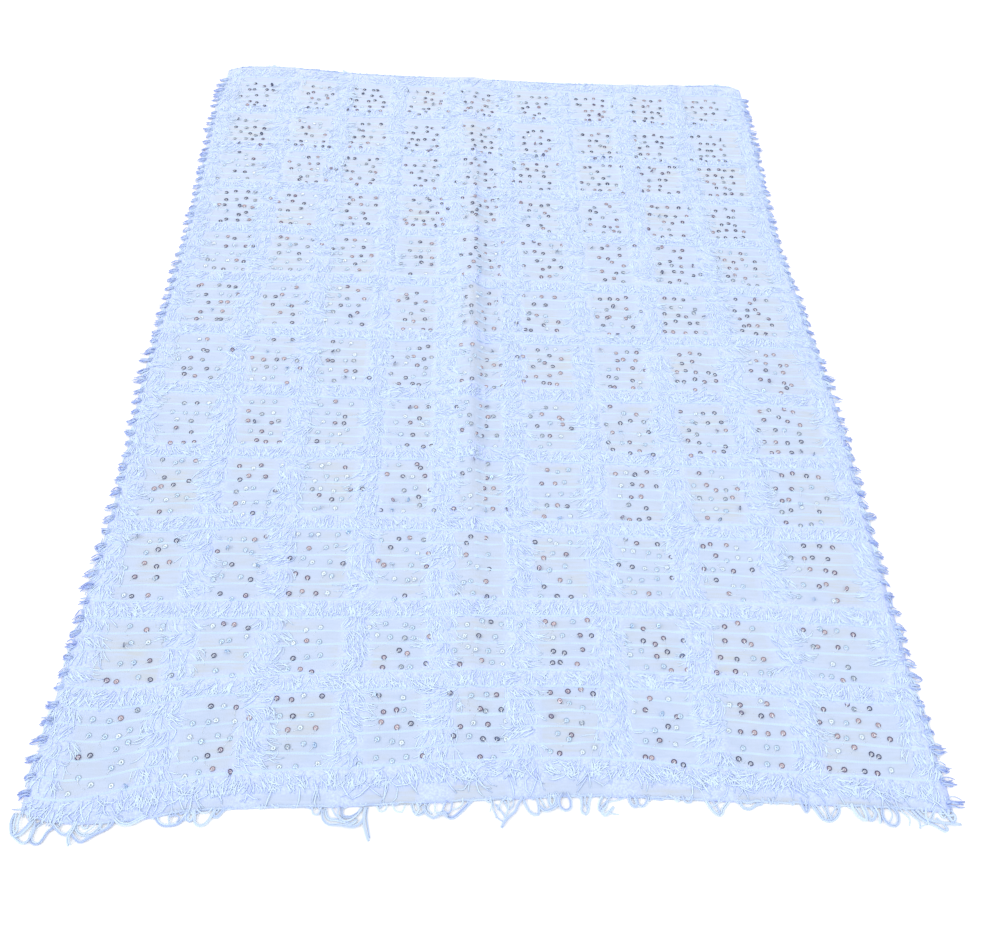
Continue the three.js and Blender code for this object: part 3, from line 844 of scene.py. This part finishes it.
# %% Punch and dish one sequin
SEQUIN_CORNERS = 8
SEQUIN_RINGS = [
    dict(radius=0.55, high=0.35),
    dict(radius=2.6, high=0.40),
    dict(radius=4.8, high=0.8),
    dict(radius=2.8, high=0.05),
    dict(radius=0.55, high=0.35),
]
SEQUIN_HOLE = SEQUIN_RINGS[0]["radius"]
SEQUIN_RIM = SEQUIN_RINGS[2]["radius"]

sequin = start_piece(
    "one_sequin", bpy.ops.mesh.primitive_circle_add,
    vertices=SEQUIN_CORNERS, radius=SEQUIN_HOLE * MM,
)
bpy.ops.object.mode_set(mode="EDIT")
bpy.ops.mesh.select_all(action="SELECT")
bpy.ops.transform.translate(value=(0, 0, SEQUIN_RINGS[0]["high"] * MM))
for before, after in zip(SEQUIN_RINGS, SEQUIN_RINGS[1:]):
    grow = after["radius"] / before["radius"]
    bpy.ops.mesh.extrude_region()
    bpy.ops.transform.resize(value=(grow, grow, 1))
    bpy.ops.transform.translate(value=(0, 0, (after["high"] - before["high"]) * MM))
bpy.ops.mesh.select_all(action="SELECT")
bpy.ops.mesh.remove_doubles(threshold=0.01 * MM)
bpy.ops.mesh.normals_make_consistent(inside=False)
bpy.ops.object.mode_set(mode="OBJECT")
print("one sequin is", 2 * SEQUIN_RIM, "mm across and has", triangles(sequin), "triangles")

# %% [markdown]
# ## Sewing the sequins on
#
# The sequins sit in the bare blocks between the columns, in rows of two to five, a row to each strip
# between two ribs. Near the top end the rows lie close below the ribs. They were sewn by eye, so no
# two blocks agree, and a few have wandered. More of them are bright at the lower left and coppery at
# the lower right, and at the top end the dark reaches further in. Each copy is turned, tipped and
# placed by arrays of numbers and written into one mesh, since two thousand objects would be slow to
# handle.

# %% Where each sequin sits
SEQUIN_BLOCKS = [110, 275, 420, 580, 725, 870, 1040, 1200, 1370]
SEQUIN_PITCH = 24
SEQUIN_ROOM = 20          # a narrower strip stays bare
CLOSE_BLOCKS = 2          # blocks from the top with their rows close to the ribs
CLOSE_ROW = 8             # how far below the rib those rows lie
DARK_RING_DOWN = 1100          # above this the dark ring of tarnish and painted reflection reaches further in
TIP = 0.11                # how far most are tipped, in radians
UPRIGHT = 0.05            # the share of them that stand up against the pile
draw = np.random.default_rng(31)
sewn = []
for middle in SEQUIN_BLOCKS:
    for block, strips in enumerate(STRIPS):
        shift = draw.normal(0, 4)
        lower_seat = draw.normal(4, 4)
        for strip in range(strips):
            room = rib_down(block, strip + 1, middle) - rib_down(block, strip, middle)
            if room < SEQUIN_ROOM:
                continue
            count = int(draw.choice([2, 3, 4, 5], p=[0.07, 0.31, 0.4, 0.22]))
            offset = (np.arange(count) - (count - 1) / 2) * SEQUIN_PITCH + draw.normal(0, 7)
            across = middle + shift + offset + draw.normal(0, 5, count)
            upper, lower = rib_down(block, strip, across), rib_down(block, strip + 1, across)
            down = lower + CLOSE_ROW if block < CLOSE_BLOCKS else (upper + lower) / 2 + lower_seat
            down = down + draw.normal(0, 4, count)
            sewn.append(np.stack([across, down], 1))
sewn = np.concatenate(sewn)
sequin_count = len(sewn)
brighter = 0.3 + 0.48 * (sewn[:, 1] / CLOTH_LONG - 0.5) - 0.36 * (sewn[:, 0] / CLOTH_WIDE - 0.5)
brighter = brighter + 0.12 * uneven(sewn[:, 0], sewn[:, 1], 300, 8)
bright = draw.uniform(0, 1, sequin_count) < brighter
coppery = 0.25 + 0.3 * sewn[:, 1] / CLOTH_LONG + 0.15 * sewn[:, 0] / CLOTH_WIDE
copper = draw.uniform(0, 1, sequin_count) < coppery
# the number also stands for painted reflection: pale for mirrored sky, dark and bronze for darker
# surroundings
tarnish_and_reflection_number = np.where(
    copper,
    draw.choice([0.2, 0.4], sequin_count),
    draw.choice([0.0, 0.6], sequin_count, p=[0.72, 0.28]),
)
tarnish_and_reflection_number = np.where(bright, draw.choice([0.8, 1.0], sequin_count, p=[0.66, 0.34]), tarnish_and_reflection_number)
print(sequin_count, "sequins,", round(100 * bright.mean()), "% of them bright")

# %% Turn, tip and place the copies
one_points = points_of(sequin.data)
one_faces = np.array([polygon.vertices[:] for polygon in sequin.data.polygons])
tip = np.abs(draw.normal(0, TIP, sequin_count))
stands_up = draw.uniform(0, 1, sequin_count) < UPRIGHT
tip = np.where(stands_up, draw.uniform(0.6, 1.2, sequin_count), tip)
tip_way = draw.uniform(0, 2 * np.pi, sequin_count)
size = draw.uniform(0.94, 1.06, sequin_count)
seat_x, seat_y = on_floor(sewn[:, 0], sewn[:, 1])
seat_z = (face(sewn[:, 0], sewn[:, 1]) + 0.05 + 0.75 * SEQUIN_RIM * np.sin(tip)) * MM
seat = np.stack([seat_x, seat_y, seat_z], 1)


def turned(points, angle, axis):
    """Turns rows of points about the X or the Z axis, each row by its own angle."""
    c, s = np.cos(angle)[:, None], np.sin(angle)[:, None]
    x, y, z = points[..., 0], points[..., 1], points[..., 2]
    if axis == "X":
        return np.stack([x, c * y - s * z, s * y + c * z], -1)
    return np.stack([c * x - s * y, s * x + c * y, z], -1)


copies = np.broadcast_to(one_points, (sequin_count, *one_points.shape)) * size[:, None, None]
copies = turned(copies, draw.uniform(0, np.pi, sequin_count), "Z")
copies = turned(turned(copies, tip, "X"), tip_way, "Z") + seat[:, None, :]
first_point = (np.arange(sequin_count) * len(one_points))[:, None, None]
copy_faces = (one_faces[None] + first_point).reshape(-1, one_faces.shape[1])
one_radius = np.hypot(one_points[:, 0], one_points[:, 1]) / MM
# towards the top end the dark ring of tarnish and painted reflection reaches further in
darkened = np.where(bright, 0, 0.4 * np.clip(1 - sewn[:, 1] / DARK_RING_DOWN, 0, 1))
out = one_radius[None, :] / SEQUIN_RIM + darkened[:, None]
sequins = joined_mesh(
    "sequins", copies.reshape(-1, 3), [copy_faces],
    {"tone": np.repeat(tarnish_and_reflection_number, len(one_points)), "out": out.ravel()},
)
bpy.data.objects.remove(sequin)
sequins.data.materials.append(sequin_metal)
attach(sequins, "root")
print(sequins.name, "has", triangles(sequins), "triangles")

# %% [markdown]
# ## The sewing thread
#
# Each sequin is held by a stitch of thin white thread from its hole over its rim. Where the thread
# was knotted and cut, a tail is left that curls on the cloth. The thread is drawn about twice as
# thick as the real one, which would be too fine for the picture.

# %% Stitches and their tails
THREAD_WAY = 122          # towards the lower left, in degrees round from the right
THREAD_HELD = 0.97        # the share of sequins that still have their thread
OTHER_WAY = 0.12          # the share of threads that point to the lower right
LONG_TAILS = 0.6          # the share of them with a long tail
THREAD_RADII = np.array([1.2, 0.85, 0.6, 0.5, 0.4])
STITCH_HEIGHTS = np.array([0.9, 1.7, 0.4, 0.4, 0.1])
held = np.flatnonzero(draw.uniform(0, 1, sequin_count) < THREAD_HELD)
thread_way = math.radians(THREAD_WAY) + draw.normal(0, 0.4, len(held))
thread_way = np.where(draw.uniform(0, 1, len(held)) < OTHER_WAY, math.pi - thread_way, thread_way)
tail_length = np.where(
    draw.uniform(0, 1, len(held)) < LONG_TAILS,
    draw.uniform(7, 18, len(held)),
    draw.uniform(1, 3, len(held)),
)
tail_curl = draw.normal(0, 0.9, len(held))
runs = np.stack([
    0 * tail_length,
    0 * tail_length + SEQUIN_RIM,
    0 * tail_length + 1.8,
    tail_length / 2,
    tail_length / 2,
], 1)
way = thread_way[:, None] + tail_curl[:, None] * np.array([0, 0, 0, 0.4, 1.0])
thread_across = sewn[held, 0][:, None] + np.cumsum(runs * np.cos(way), 1)
thread_down = sewn[held, 1][:, None] + np.cumsum(runs * np.sin(way), 1)
thread_x, thread_y = on_floor(thread_across, thread_down)
thread_z = face(thread_across, thread_down) + STITCH_HEIGHTS
thread_paths = np.stack([thread_x, thread_y, thread_z * MM], -1)
threads = sweep(
    "sewing_threads", thread_paths,
    THREAD_RADII * MM * np.ones((len(held), 1)), np.ones(thread_paths.shape[:2]),
)
dress(threads, thread_cotton)


# %% [markdown]
# ## Tufts past the two sides
#
# Each rib ends in a tuft of pile that stands out past the side of the cloth and hangs a little
# towards the bottom end, so the sides look like the teeth of a coarse saw. The longest strands of a
# tuft reach as far as its solid does. Where the solid is a single lock, there is a broom of strands
# here, darker towards their tips, partly with dirt and partly with painted shade.

# %% Brooms at the ends of the ribs
TUFT_STRANDS = 10
TUFT_REACH = 13           # past the side of the cloth, give or take its luck
TUFT_INSIDE = 24          # what the shares below 0 are shares of, inside the side
TUFT_RADIUS = 1.1
TUFT_SHARES = np.array([-0.35, 0.15, 0.5, 0.8, 1.0])
TUFT_HEIGHTS = np.array([3.4, 2.2, 0.6, 0.1, 0])
TUFT_THINNING = np.array([1, 1, 1, 0.9, 0.5])
# darker towards the tips: partly dirt, partly painted shade
TUFT_DIRT_AND_SHADE = np.array([0.9, 0.8, 0.6, 0.4, 0.2])
TEETH = 5                 # tufts from one band to the next
LONG_TUFTS = dict(
    left=[(20, 190, 8), (255, 315, 7), (1095, 1195, 9), (1660, 1705, 9), (1980, 2035, 10)],
    right=[
        (30, 60, 8), (165, 305, 7), (1110, 1215, 8), (1505, 1535, 8), (1725, 1760, 8),
        (1825, 1860, 8), (1990, 2085, 10),
    ],
)


def chance(first, second):
    """The number between -1 and 1 that the solids draw for the same two counts."""
    wave = math.sin(first * 127.1 + second * 311.7) * 43758.5453
    return 2 * (wave - math.floor(wave)) - 1


def side_tufts(side, seed):
    """The tufts of one side."""
    draw = np.random.default_rng(seed)
    outward = -1 if side == "left" else 1
    edge = 0 if side == "left" else CLOTH_WIDE
    groups = []
    for block in range(BAND_COUNT):
        first = last = float(band_down(block, edge)) + BANDS["wide"][block] / 2
        if block < BAND_COUNT - 1:
            last = float(band_down(block + 1, edge)) - BANDS["wide"][block + 1] / 2
        for tooth in range(TEETH + 1 if block < BAND_COUNT - 1 else 1):
            order = 12 * block + 2 + 2 * tooth
            down = first + (last - first) * tooth / TEETH
            extra = sum(more for low, high, more in LONG_TUFTS[side] if low <= down <= high)
            luck = chance(order, outward * 7)
            reach = TUFT_REACH + 4 * luck + extra
            slant = 2 + 4 * chance(order, outward * 13)
            spot = draw.uniform(-1, 1, TUFT_STRANDS)
            root_down = down + spot * (5.5 + 1.5 * luck)
            reaches = reach * draw.uniform(0.45, 1.05, TUFT_STRANDS) * (1 - 0.15 * np.abs(spot))
            arch = np.sin(np.pi * (TUFT_SHARES + 0.35) / 1.35)
            bow = draw.normal(0, 3.5, TUFT_STRANDS)[:, None] * arch
            lean = (slant + spot * 1.5)[:, None] * np.clip(TUFT_SHARES, 0, 1)
            strand_down = np.clip(root_down[:, None] + lean + bow, 2, CLOTH_LONG - 2)
            x, y = on_floor(np.full(strand_down.shape, float(edge)), strand_down)
            run = TUFT_SHARES * np.where(TUFT_SHARES < 0, TUFT_INSIDE, reaches[:, None])
            lie = draw.uniform(0.2, 2.6, TUFT_STRANDS)[:, None]
            z = 1.3 + lie + TUFT_HEIGHTS * draw.uniform(0.7, 1, (TUFT_STRANDS, 1))
            groups.append(np.stack([x + outward * run * MM, y, z * MM], -1))
    paths = np.concatenate(groups)
    radii = TUFT_RADIUS * MM * draw.uniform(0.7, 1.2, (len(paths), 1)) * TUFT_THINNING
    tones = np.clip(TUFT_DIRT_AND_SHADE * draw.normal(1.0, 0.35, (len(paths), 1)), 0, 1)
    piece = sweep(f"side_tufts_{side}", paths, radii, tones, sides=4)
    return dress(piece, tuft_cotton)


left_tufts = side_tufts("left", 41)
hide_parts("fringe_left")
right_tufts = side_tufts("right", 42)
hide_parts("fringe_right")

# %% [markdown]
# ## The loops of the bottom end
#
# The warp was looped over the loom's bar. When the blanket is taken off, the loops hang out of the
# bottom edge in groups, twist back on themselves and cross. No two are alike, so each was drawn as
# a few places that it passes through, in millimetres across and down the floor, with 2000 left off
# from down. The longer ones have a second strand beside them, since a warp yarn is laid double.
# Where nothing hangs out, small nubs of warp show along the edge.

# %% Loops and loose ends of warp
WARP_RADIUS = 1.5
LOOP_RINGS = 15
NUB_PITCH = 24.0          # from one short loop at the hem to the next
LOOPS = [
    [(-12, 101), (-15, 112), (-12, 126), (-7, 136), (2, 136), (10, 127), (20, 110)],
    [(-8, 101), (-8, 115), (-6, 127), (-2, 134)],
    [(-2, 102), (-2, 118), (0, 128), (-4, 135)],
    [(-4, 135), (5, 142), (13, 146), (19, 143), (20, 132), (24, 116)],
    [(22, 112), (13, 127), (6, 135), (-2, 137)],
    [(24, 114), (26, 130), (23, 140), (18, 149)],
    [(34, 116), (25, 127), (24, 138), (29, 146), (36, 147), (41, 139), (45, 129), (56, 120)],
    [(50, 118), (60, 128), (68, 134), (76, 135), (83, 128), (90, 112)],
    [(86, 112), (83, 126), (79, 138), (81, 147), (84, 152)],
    [(88, 112), (92, 127), (102, 133), (114, 132), (122, 124), (127, 110)],
    [(84, 134), (92, 142), (101, 147), (109, 142), (121, 134), (135, 127), (143, 120), (147, 108)],
    [(104, 132), (114, 124), (122, 110)],
    [(97, 112), (99, 123), (104, 124), (106, 112)],
    [(126, 112), (128, 126), (134, 125), (139, 111)],
    [(146, 108), (157, 116), (169, 117), (181, 111), (196, 102)],
    [(212, 97), (212, 110), (220, 117), (234, 118), (246, 114), (252, 105), (256, 93)],
    [(232, 97), (229, 108), (233, 118)],
    [(231, 106), (239, 104), (246, 108), (243, 115)],
    [(254, 112), (253, 102), (259, 95), (266, 99), (268, 108), (262, 114), (257, 108), (260, 99)],
    [(266, 92), (270, 103), (274, 117), (282, 119), (289, 114), (294, 105), (300, 92)],
    [(271, 94), (279, 100), (288, 100), (296, 92)],
    [(296, 94), (300, 107), (305, 107), (312, 98), (322, 90)],
    [(453, 90), (456, 101), (462, 102), (468, 90)],
    [(471, 94), (473, 109), (482, 117), (495, 117), (508, 119), (524, 120), (533, 112), (537, 92)],
    [(475, 92), (482, 107), (495, 109), (506, 112), (518, 115), (525, 108)],
    [(484, 90), (491, 102), (503, 109), (512, 120)],
    [(496, 90), (495, 102), (501, 110)],
    [(502, 90), (504, 103), (513, 104), (524, 99), (532, 90)],
    [(533, 92), (523, 105), (511, 112), (499, 110)],
    [(538, 90), (536, 108), (538, 121), (542, 134), (546, 144)],
    [(542, 90), (541, 104), (544, 120), (548, 138)],
    [(556, 88), (562, 97), (568, 96), (573, 85)],
    [(581, 86), (588, 97), (596, 98), (602, 86)],
    [(611, 84), (616, 98), (623, 103), (631, 99), (637, 82)],
    [(620, 82), (624, 93), (619, 103)],
    [(631, 88), (639, 101), (648, 106), (656, 101), (664, 99), (672, 105)],
    [(642, 82), (638, 92), (646, 100)],
    [(650, 82), (652, 98), (659, 97), (665, 82)],
    [(668, 80), (664, 96), (672, 99), (678, 82)],
    [(668, 99), (675, 105), (690, 96), (700, 86), (714, 72)],
    [(676, 94), (686, 91), (694, 84), (695, 74)],
    [(739, 72), (742, 86), (739, 97)],
    [(744, 74), (745, 92), (749, 106)],
    [(746, 96), (752, 107), (761, 113)],
    [(756, 122), (762, 111), (771, 102), (779, 95), (783, 86), (792, 72)],
    [(748, 84), (757, 95), (765, 106)],
    [(768, 72), (769, 90), (764, 104), (757, 120)],
    [(766, 72), (756, 84), (751, 94)],
    [(760, 74), (771, 92), (777, 84), (776, 72)],
    [(794, 72), (800, 88), (806, 97), (816, 100), (817, 86), (813, 70)],
    [(818, 88), (827, 96), (842, 92), (851, 85), (853, 75), (848, 64)],
    [(820, 70), (826, 82), (833, 95)],
    [(836, 66), (835, 83), (841, 90), (847, 81), (846, 66)],
    [(860, 66), (853, 78), (856, 90), (863, 94), (869, 90), (870, 80), (864, 66)],
    [(889, 66), (891, 84), (890, 96), (895, 99), (898, 92), (900, 80), (906, 66)],
    [(896, 68), (895, 84), (899, 90)],
    [(940, 68), (931, 79), (922, 87), (917, 95)],
    [(926, 70), (919, 84), (918, 92), (924, 90), (930, 78)],
    [(922, 90), (921, 99), (927, 103), (933, 98), (942, 89)],
    [(930, 96), (939, 100), (949, 101)],
    [(930, 80), (944, 78), (956, 75), (966, 69)],
    [(966, 70), (970, 85), (977, 89), (982, 85), (981, 72)],
    [(976, 72), (981, 86), (988, 89), (996, 83), (1001, 70)],
    [(1000, 72), (1012, 75), (1024, 75), (1034, 69)],
    [(1034, 68), (1043, 74), (1052, 78)],
    [(1056, 70), (1062, 81), (1068, 81), (1074, 70)],
    [(1094, 68), (1103, 88), (1110, 97), (1116, 100), (1120, 91), (1126, 84), (1138, 70)],
    [(1102, 72), (1112, 87), (1116, 99)],
    [(1120, 70), (1114, 82), (1102, 87)],
    [(1151, 72), (1155, 89), (1164, 92), (1173, 89), (1180, 84), (1187, 84), (1193, 72)],
    [(1156, 79), (1168, 81), (1180, 77), (1188, 79)],
    [(1200, 72), (1203, 83), (1209, 72)],
    [(1232, 70), (1238, 81), (1243, 70)],
    [(1252, 72), (1256, 90), (1260, 97), (1265, 91), (1270, 76)],
    [(1262, 76), (1260, 94)],
    [(1268, 78), (1278, 97), (1284, 107), (1292, 111), (1301, 110), (1311, 103), (1317, 94), (1319, 80)],
    [(1273, 78), (1284, 93), (1291, 107)],
    [(1296, 80), (1296, 96), (1299, 109)],
    [(1288, 82), (1294, 97), (1296, 109)],
    [(1298, 107), (1305, 95), (1317, 84)],
    [(1336, 82), (1340, 97), (1350, 108), (1358, 110), (1359, 98), (1355, 84)],
    [(1343, 84), (1350, 97), (1353, 108)],
    [(1358, 86), (1362, 102), (1365, 110), (1373, 105), (1377, 97), (1370, 86)],
    [(1376, 86), (1381, 104), (1378, 115)],
    [(1392, 86), (1388, 100), (1381, 112)],
    [(1390, 88), (1389, 106), (1396, 115), (1404, 116), (1411, 107), (1411, 96), (1402, 84)],
    [(1398, 86), (1403, 99), (1395, 113)],
    [(1414, 84), (1425, 98), (1431, 106), (1428, 117)],
    [(1424, 88), (1438, 102), (1446, 112), (1444, 122)],
    [(1444, 120), (1456, 114), (1464, 105), (1480, 88)],
    [(1438, 92), (1452, 108), (1464, 114), (1478, 122), (1486, 127), (1492, 121)],
    [(1446, 90), (1458, 104), (1471, 109), (1484, 111), (1500, 113), (1515, 114)],
    [(1463, 88), (1459, 102), (1461, 116)],
    [(1478, 90), (1468, 107), (1456, 115)],
    [(1476, 104), (1487, 117), (1490, 126)],
    [(1490, 88), (1499, 101), (1508, 98), (1509, 106), (1502, 112), (1496, 104), (1499, 90)],
    [(1482, 92), (1490, 104), (1497, 97)],
    [(1505, 92), (1509, 104), (1505, 112)],
]
draw = np.random.default_rng(51)


def drawn_strand(places, beside, lie):
    """A strand on the floor through places read off the picture, moved sideways by beside."""
    across, down = np.array(places, float).T
    run = np.concatenate([[0], np.cumsum(np.hypot(np.diff(across), np.diff(down)))])
    at = np.linspace(0, run[-1], LOOP_RINGS)
    across, down = curve(run, across, at), curve(run, down, at)
    way = unit(np.stack([np.gradient(across), np.gradient(down)], 1))
    across, down = across - beside * way[:, 1], down + beside * way[:, 0]
    x, y = (across - MIDDLE_ACROSS) * MM, (MIDDLE_DOWN - 2000 - down) * MM
    return np.stack([x, y, (WARP_RADIUS + lie) * MM + 0 * x], -1)


warp_paths = []
for number, places in enumerate(LOOPS):
    warp_paths.append(drawn_strand(places, 0, 1.1 * (number % 3)))
    if len(places) > 4:
        beside = draw.choice([-1, 1]) * draw.uniform(1.8, 3)
        warp_paths.append(drawn_strand(places, beside, 1.1 * (number % 3) + draw.uniform(-0.2, 0.8)))
turn = np.linspace(0, np.pi, LOOP_RINGS)
for across in np.arange(14, CLOTH_WIDE - 8, NUB_PITCH):
    nub = across + draw.normal(0, 4)
    hang = np.sin(turn) * draw.uniform(5, 10)
    side = -np.cos(turn) * draw.uniform(2, 5) + draw.normal(0, 3) * np.sin(turn)
    x, y = on_floor(nub + side, CLOTH_LONG - 6 + hang)
    warp_paths.append(np.stack([x, y, (WARP_RADIUS + 0.6) * MM + 0 * x], -1))
warp_paths = np.array(warp_paths)
warp_radii = np.full(warp_paths.shape[:2], WARP_RADIUS * MM)
warp_radii = warp_radii * draw.uniform(0.75, 1.1, (len(warp_paths), 1))
warp_tones = np.clip(draw.normal(0.7, 0.3, (len(warp_paths), 1)) + 0 * warp_radii, 0, 1)
bottom_loops = sweep("warp_loops", warp_paths, warp_radii, warp_tones, sides=5)
dress(bottom_loops, warp_cotton)
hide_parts("fringe_bottom")

# %% [markdown]
# ## The hem cord and the top end
#
# A twined cord of warp closes both ends of the weave, so that it can't ravel. It lies along the edge
# and follows its waves. At the top end a few strands of the first band of pile also stand past it.

# %% Cords along both ends and the tufts of the top
TOP_TUFTS = [
    (115, 140, 3, 12), (330, 350, 2, 14), (690, 735, 4, 9), (1000, 1080, 4, 8), (1180, 1200, 2, 7),
    (1424, 1438, 2, 14),
]
TOP_SHARES = np.linspace(0, 1, 5)
TOP_THINNING = np.array([1, 1, 1, 0.9, 0.6])
TOP_RADIUS = 1.25
TOP_PITCH = 3.1           # from one short strand of the top edge to the next
CORD_RINGS = 260
CORD_RADIUS = 1.6
CORD_HEIGHT = 1.9
cord_across = np.linspace(2, CLOTH_WIDE - 2, CORD_RINGS)
cord_paths = []
for down in (2.5, CLOTH_LONG - 2.5):
    cord_down = down + 1.2 * uneven(cord_across, 0 * cord_across, 30, 61)
    x, y = on_floor(cord_across, cord_down)
    cord_paths.append(np.stack([x, y, np.full_like(x, CORD_HEIGHT * MM)], -1))
cord_paths = np.array(cord_paths)
end_cords = sweep(
    "end_cords", cord_paths, np.full(cord_paths.shape[:2], CORD_RADIUS * MM),
    np.clip(0.45 + 0.25 * draw.standard_normal(cord_paths.shape[:2]), 0, 1), sides=6,
)
dress(end_cords, warp_cotton)

draw = np.random.default_rng(62)
top_groups = []
for cluster, (start, stop, tufts, reach) in enumerate(TOP_TUFTS):
    for tuft in range(tufts):
        middle = start + (stop - start) * (tuft + 0.5) / tufts
        long = reach * (0.85 + 0.15 * chance(tuft, cluster))
        aim = 4 * chance(cluster, tuft)
        for _ in range(5):
            across = middle + draw.uniform(-3, 3) + TOP_SHARES * (aim + draw.normal(0, 2))
            down = 7 - TOP_SHARES * (7 + long * draw.uniform(0.6, 1))
            x, y = on_floor(across, down)
            z = 1.4 + draw.uniform(0, 1.5) + 3 * (1 - TOP_SHARES)
            top_groups.append(np.stack([x, y, z * MM], -1))
for across in np.arange(6, CLOTH_WIDE - 4, TOP_PITCH):
    sideways = draw.normal(0, 7) * TOP_SHARES**1.4
    down = 8 - TOP_SHARES * draw.uniform(3, 10)
    x, y = on_floor(np.clip(across + sideways, 1, CLOTH_WIDE - 1), down)
    z = 1.5 + draw.uniform(0, 2) + 3 * (1 - TOP_SHARES)
    top_groups.append(np.stack([x, y, z * MM], -1))
top_paths = np.array(top_groups)
top_radii = TOP_RADIUS * MM * np.broadcast_to(TOP_THINNING, top_paths.shape[:2])
top_tones = np.clip(draw.normal(0.85, 0.12, (len(top_paths), 1)) + 0 * top_radii, 0, 1)
top_tufts = sweep("top_tufts", top_paths, top_radii, top_tones, sides=4)
dress(top_tufts, pile_cotton)
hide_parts("fringe_top")

# %% [markdown]
# ## One body
#
# Every piece rides on the one body that the cloth rides on, so the others go where it goes.

# %% [markdown]
# ## Floor and light
#
# A matte white floor, the even light of an overcast sky, one broad soft light from the left and a
# weak warm lamp beyond the top end. The blanket is white on white, so most of its form is drawn by
# the little shade that the low pile throws to its right. The lamp hardly lights the cloth, but the
# tarnished metal of the sequins mirrors it.

# %% The floor
floor = start_piece("floor", bpy.ops.mesh.primitive_plane_add, size=40, location=(0, 0, -0.5 * MM))
floor_paint, tree = new_finish("matt_white_floor")
shader = add_node(
    tree, "ShaderNodeBsdfPrincipled", None,
    {"Base Color": srgb("fbfbfb"), "Roughness": 0.9, "Specular IOR Level": 0.1},
)
add_node(tree, "ShaderNodeOutputMaterial", None, {"Surface": shader.outputs[0]})
floor.data.materials.append(floor_paint)
print("the floor lies half a millimetre under the blanket")

# %% Sky, key light and lamp
SKY = 1.15
KEY = 0.7
LAMP = 10.0               # weak and warm, beyond the top end
sky = bpy.data.worlds.new("overcast_sky")
sky.use_nodes = True
sky.node_tree.nodes["Background"].inputs["Color"].default_value = (1, 1, 1, 1)
sky.node_tree.nodes["Background"].inputs["Strength"].default_value = SKY
bpy.context.scene.world = sky
key_data = bpy.data.lights.new("window_light", "SUN")
key_data.energy = KEY
key_data.angle = math.radians(25)
key_light = bpy.data.objects.new("window_light", key_data)
key_light.rotation_euler = (math.radians(12), math.radians(-52), 0)
bpy.context.scene.collection.objects.link(key_light)
lamp_data = bpy.data.lights.new("warm_lamp", "AREA")
lamp_data.energy = LAMP
lamp_data.color = (1.0, 0.62, 0.3)
lamp_data.size = 1.5
lamp = bpy.data.objects.new("warm_lamp", lamp_data)
lamp.location = (-0.7, 2.2, 1.9)
lamp.rotation_euler = (math.radians(-36), 0, math.radians(16))
bpy.context.scene.collection.objects.link(lamp)
bpy.context.scene.view_settings.view_transform = "Standard"
print("sky", SKY, "key", KEY, "and lamp", LAMP)
